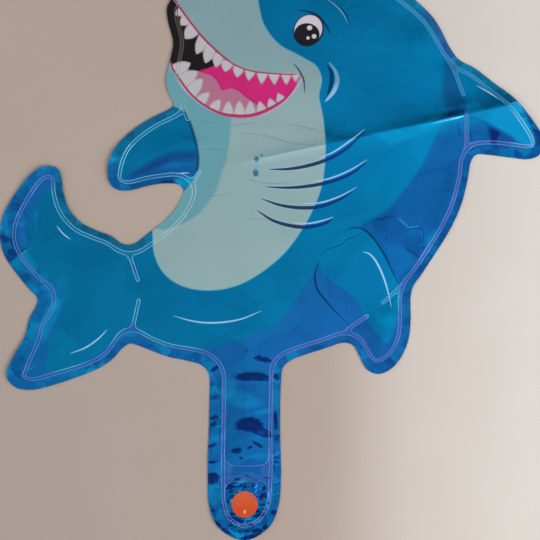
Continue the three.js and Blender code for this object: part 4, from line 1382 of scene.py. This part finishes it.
def shark_inks(f):
    """The blues: teal, lighter towards the right as painted light, a printed deeper blue on the shaded
    side and the margins, the far flipper's own blue with painted shade below its fold, and the pressed
    weld, all darkened and lightened by the foil's painted reflections and painted shade."""
    slow = f.noise(3.2)
    east = f.along("left_to_right")
    # painted light: the teal is lighter towards the right, where the light comes from
    teal = f.blend(east, "teal_left", "teal_right")
    teal = f.ink(teal, "teal_cloud", f.ramp(slow, 0.35, 0.65, 0.0, 0.25))
    deep_blue = f.blend(east, "deep_left", "deep_right")
    deep_blue = f.ink(deep_blue, "deep_cloud", f.ramp(slow, 0.4, 0.65, 0.0, 0.4))
    base = f.ink(teal, deep_blue, f.mask("deep", 2))
    margin = f.mask("back_margin", 5)
    outside = f.ramp(f.attribute("margin"), HALF_WELD - 1, HALF_WELD + 1)
    base = f.ink(base, f.blend(outside, "back", "back_rim"), margin, 0.85)
    # the far flipper's own blue, with painted shade below the fold across it
    far, far_shade = f.mask("far_flipper", 0.6), f.mask("far_shade", 3.2)
    base = f.ink(base, f.blend(far_shade, "flipper", "flipper_shade"), far)
    shaded = f.most(f.mask("deep", 3), margin, f.times(far, far_shade))
    base = f.ink(base, "teal_rim", outside, f.other(shaded), 0.5)
    pressed = f.blend(violet_share(f), "pressed_blue", "pressed_violet")
    base = f.ink(base, pressed, f.mask("weld"), f.mix(east, 0.06, 0.34))

    # painted reflections: the foil lightened and darkened where it would mirror the room
    light, dark = sheen(f)
    base = f.ink(base, "bright", light, 0.85)
    base = f.ink(base, "dark", dark, 0.88)
    # painted shade along the fine creases, and painted glints
    base = f.ink(base, "crease", f.stroke("crease_shade_line", 0.6), 0.5)
    return f.ink(base, "glint", f.stroke("glint_line", 0.6), 0.5)


def belly_ink(f):
    """The denser pale ink of the belly and head, a little darker towards the head's top, with painted
    shade on the long crease's upper side, a painted highlight on its lower side, and painted shade
    along the fine creases."""
    belly = f.blend(f.noise(5.0, stretch=(1, 2.2, 0)), "belly_dark", "belly_light")
    belly = f.ink(belly, "belly_top", f.along("up_the_head"), 0.7)
    belly = f.ink(belly, "chin", f.mask("chin_shade", 1.8))
    # painted shade above the long crease and a painted highlight below it
    crease = f.attribute("crease")
    begun = f.ramp(f.attribute("crease_share"), 0.26, 0.34)
    for tint, reach, below, above in [("painted_fold_shade", 10, 0.0, 0.45), ("painted_fold_highlight", -9, 0.5, 0.0)]:
        near = f.slope(crease, reach, 0)
        belly = f.ink(belly, tint, near, f.ramp(crease, -0.4, 0.4, below, above), begun)
    # painted shade along the fine creases of the belly
    return f.ink(belly, "belly_crease_shade", f.stroke("crease_shade_line", 0.7), 0.34)


def mouth_inks(f):
    """The throat with its tongue, the black gap and the teeth."""
    throat = f.blend(f.noise(40, 1.0), "throat_dark", "throat_light")
    throat = f.ink(throat, "tongue_shade", f.ramp(f.attribute("tongue"), -3.0, -0.3, 0.0, 0.55))
    throat = f.ink(throat, "tongue", f.mask("tongue", 0.8))
    black = f.ink("gap", "gap_pressed", f.mask("weld"), 0.8)
    throat = f.ink(throat, black, f.mask("black_gap", 0.6))
    seam = f.ramp(f.attribute("tooth_seam"), 0.0, 1.8)
    return f.ink(throat, f.blend(seam, "tooth_seam", "tooth"), f.mask("teeth"))


def printed_finish():
    """Clear inks on metallised film, with denser pale and dark inks for the belly, mouth and
    eye. The inks are laid one over the other in this order."""
    f = Finish("printed_metallised_film")
    pale = f.times(f.mask("pale", 0.7), f.other(f.mask("far_flipper", 0.6)))
    pale_rim = f.ramp(f.math("ABSOLUTE", f.attribute("pale")), 0.3, 1.6, 0.55, 0.0)
    base = f.ink(shark_inks(f), "belly_rim", pale_rim)
    base = f.ink(base, belly_ink(f), pale)
    base = f.ink(base, "far_edge", f.stroke("far_edge", 0.8), 0.8)

    mouth = f.mask("mouth")
    halo = f.ramp(f.attribute("mouth"), -4.2, -2.0, 0.0, 0.5)
    base = f.ink(base, "halo", halo, f.along("under_halo"))
    base = f.ink(base, mouth_inks(f), mouth)
    lip = f.most(f.stroke("lip", 0.6), f.stroke("lip_swell", 0.6))
    base = f.ink(base, "lip", lip, 0.94)
    for name, aside in [("lip", 0.45), ("lip_swell", 0.9)]:
        from_core = f.math("ABSOLUTE", f.math("SUBTRACT", f.attribute(name + "_across"), aside))
        base = f.ink(base, "lip_core", f.stroke(name, 0.6), f.ramp(from_core, 0.2, 0.8, 0.6, 0.0))

    glow = f.ramp(f.into_stroke("slit"), -2.2, -0.8, 0.0, 0.4)
    base = f.ink(base, "slit_glow", glow, pale)
    base = f.ink(base, f.blend(pale, "slit_on_blue", "slit_on_pale"), f.stroke("slit"))
    white = f.most(f.stroke("slit_light", 0.45), f.stroke("white_line", 0.45))
    base = f.ink(base, "dark_line", f.stroke("dark_line", 0.6), 0.85)
    base = f.ink(base, "white_line", white, 0.9)
    cheek = f.stroke("cheek_line")
    cheek_ink = f.blend(f.along("down_the_cheek"), "cheek_high", "cheek_low")
    base = f.ink(base, cheek_ink, cheek, 0.9)
    eye_rim = f.inside_oval(*EYE_RIM)
    for shape, tint, soft, dense in PRINTED_OVALS:
        base = f.ink(base, tint, f.inside_oval(*shape, soft=soft), dense)

    dense = f.most(pale, mouth, eye_rim, white, cheek, lip)
    smears = f.slope(f.noise(14, 3.0, 0.6), 0.35, 0.7, -0.03, 0.06)
    metal = f.mix(dense, FOIL_METAL, DENSE_METAL)
    rough = f.math("ADD", f.mix(dense, FOIL_ROUGH, DENSE_ROUGH), smears)
    from_crease = f.math("ABSOLUTE", f.attribute("crease"))
    share = f.attribute("crease_share")
    fold = f.times(f.math("EXPONENT", f.times(from_crease, -0.06)), f.ramp(share, 0.0, 0.7),
                   f.ramp(share, 0.82, 0.96, 1.0, 0.6))
    normal = f.bump(fold, *FOLD_RELIEF, foil_bumps(f))
    lines = f.math("SUBTRACT", f.stroke("glint_line", 1.2), f.stroke("crease_shade_line", 1.2))
    normal = f.bump(lines, *LINE_RELIEF, normal)
    return f.finish(base, metal=metal, rough=rough, normal=normal, specular=PRINT_SPECULAR)


def back_finish():
    """Plain blue metallised film, with a pale line along both edges of its weld."""
    f = Finish("blue_metallised_film")
    base = f.blend(f.noise(3.0), "film_dark", "film_light")
    from_weld = f.math("SUBTRACT", f.math("ABSOLUTE", f.attribute("margin")), HALF_WELD)
    weld = f.ramp(f.math("ABSOLUTE", from_weld), 0.2, 0.8, 1.0, 0.0)
    base = f.ink(base, "film_weld", weld, 0.7)
    rough = f.slope(f.noise(14, 3.0, 0.6), 0.3, 0.7, 0.18, 0.28)
    return f.finish(base, metal=FOIL_METAL, rough=rough, normal=foil_bumps(f), specular=FOIL_SPECULAR)


def weld_finish():
    """Pressed film: a paler line, violet on the deep blue, light blue on the teal, nearly white on the
    belly and dull on the black of the mouth, with a painted highlight at the dorsal fin's tip."""
    f = Finish("pressed_weld_line")
    wear = f.noise(70, 3.0, 0.6)
    violet = f.blend(wear, "violet_dark", "violet_light")
    light_blue = f.blend(wear, "line_dark", "line_light")
    light_blue = f.ink(light_blue, "line_right", f.along("line_to_right"))
    base = f.ink(light_blue, violet, violet_share(f))
    chin = f.times(f.along("line_to_chin"), 0.75)
    pale_line = f.blend(chin, "line_pale", "line_chin")
    base = f.ink(base, pale_line, f.mask("pale", 1), f.other(f.mask("far_flipper", 1)))
    in_mouth = f.blend(f.along("gap_to_teeth"), "line_gap", "line_teeth")
    base = f.ink(base, in_mouth, f.mask("mouth", 1))
    # painted highlight on the lines at the dorsal fin's tip
    base = f.ink(base, "line_fin_highlight", fin_tip(f))
    rough = f.slope(f.noise(160), 0.3, 0.7, 0.24, 0.38)
    grain = f.bump(f.noise(420), 0.0002, 0.3)
    return f.finish(base, metal=WELD_METAL, rough=rough, normal=grain, specular=FOIL_SPECULAR)


def label_finish():
    """Matt orange ink with a faint mottle, lighter at the top and darker at the bottom as painted light and
    shade of the crease across it, and a plain pale arrow that points into the neck.
    """
    f = Finish("orange_label_ink")
    # painted light and shade: lighter at the top, darker at the bottom
    low = f.along("label_down")
    base = f.blend(low, "label_high", "label_low")
    base = f.ink(base, "label_mottle", f.noise(160, 3.0, 0.6), 0.4)
    base = f.ink(base, "arrow", f.inside_oval(*ARROW, soft=0.2), 0.8)
    rough = f.slope(f.noise(220), 0.3, 0.7, 0.42, 0.56)
    grain = f.bump(f.noise(300), 0.0003, 0.25)
    return f.finish(base, metal=0.0, rough=rough, normal=grain, specular=0.25)


def floor_finish():
    """A pale warm floor with a soft grain, and painted shadow: darker at the left and the lower left,
    lighter towards the right where the light falls.
    """
    f = Finish("pale_floor")
    # painted shadow on the left and the lower left, painted light towards the right
    base = f.blend(f.along("floor_to_right"), "floor_in_painted_shadow", "floor_in_painted_light")
    base = f.ink(base, "floor_edge_in_painted_light", f.along("floor_to_edge"))
    base = f.ink(base, "floor_corner_in_painted_shadow", f.along("floor_to_left"), f.along("floor_down"), 0.6)
    mottle = f.ramp(f.noise(7, 3.0, 0.5, (1, 1, 1)), 0.3, 0.7, 0.0, 0.12)
    base = f.ink(base, "floor_mottle", mottle)
    grain = f.bump(f.noise(300, 3.0, 0.6, (1, 1, 1)), 0.0004, 0.15)
    return f.finish(base, metal=0.0, rough=0.55, normal=grain, specular=0.3)


# The scene


def placed(name, data, place):
    """A new object in the scene."""
    made = bpy.data.objects.new(name, data)
    bpy.context.scene.collection.objects.link(made)
    made.location = place
    return made


def add_area_light(name, place, size, power, tint):
    """A soft square light that looks at the balloon."""
    light = bpy.data.lights.new(name, "AREA")
    light.shape = "SQUARE"
    light.size = size
    light.energy = power
    light.color = tint
    lamp = placed(name, light, place)
    lamp.rotation_euler = (-Vector(place)).to_track_quat("-Z", "Y").to_euler()


def light_room():
    """The world: a soft room, whose brightness is the product of one ramp for each axis."""
    world = bpy.data.worlds.new("soft_room")
    world.use_nodes = True
    bpy.context.scene.world = world
    nodes, links = world.node_tree.nodes, world.node_tree.links
    split = nodes.new("ShaderNodeSeparateXYZ")
    links.new(nodes.new("ShaderNodeTexCoord").outputs["Generated"], split.inputs[0])
    strength = None
    for axis, stops in ROOM.items():
        place = nodes.new("ShaderNodeMapRange")
        place.inputs["From Min"].default_value = -1
        ramp = nodes.new("ShaderNodeValToRGB")
        links.new(split.outputs[axis], place.inputs["Value"])
        links.new(place.outputs[0], ramp.inputs[0])
        for where, _ in stops[1:-1]:
            ramp.color_ramp.elements.new((where + 1) / 2)
        for point, (_, level) in zip(ramp.color_ramp.elements, stops):
            point.color = (level, level, level, 1)
        product = nodes.new("ShaderNodeMath")
        product.operation = "MULTIPLY"
        product.inputs[1].default_value = ROOM_STRENGTH
        links.new(ramp.outputs[0], product.inputs[0])
        if strength is not None:
            links.new(strength, product.inputs[1])
        strength = product.outputs[0]
    links.new(strength, nodes["Background"].inputs["Strength"])
    nodes["Background"].inputs["Color"].default_value = (1, 1, 1, 1)


def set_stage():
    """Floor, soft studio light, world and the camera straight above, as in the photograph."""
    corners = np.array([(-1, -1, 0), (1, -1, 0), (1, 1, 0), (-1, 1, 0)]) * FLOOR_HALF - [0, 0, FLOOR_DROP]
    floor = mesh_object("floor", corners, np.array([(0, 1, 2), (0, 2, 3)]), smooth=False)
    floor.data.materials.append(floor_finish())

    light_room()
    for row in LIGHTS:
        add_area_light(*row)

    camera = bpy.data.cameras.new("camera")
    camera.sensor_width = SENSOR_WIDTH
    camera.lens = SENSOR_WIDTH * CAMERA_HEIGHT / (FRAME_WIDTH * MM)
    place = (FRAME_CENTRE[0] * MM, FRAME_CENTRE[1] * MM, CAMERA_HEIGHT)
    bpy.context.scene.camera = placed("camera", camera, place)
    bpy.context.scene.view_settings.view_transform = "Standard"


def nodes_called(prefix):
    """The solids whose names begin so."""
    return [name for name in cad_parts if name.startswith(prefix)]


set_stage()
front, front_flat, front_triangles = make_front_film()
back, back_flat, back_triangles = make_back_film()
perimeter_lines, bar_lines, neck_lines = make_welds()
label = make_label()

front.data.materials.append(printed_finish())
back.data.materials.append(back_finish())
weld_material = weld_finish()
for lines in [perimeter_lines, *bar_lines, neck_lines]:
    lines.data.materials.append(weld_material)
label.data.materials.append(label_finish())

for piece, slot, stands_for in [
    (front, "printed_film", nodes_called("front_film_")),
    (back, "back_film", nodes_called("back_film_")),
    (perimeter_lines, "weld", ["perimeter_weld"]),
    (neck_lines, "weld", ["neck_cross_weld"]),
    (label, "label", ["valve_label"]),
    *[(lines, "weld", [bar[0]]) for lines, bar in zip(bar_lines, WELD_BARS)],
]:
    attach(piece, "root")
    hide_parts(*stands_for)
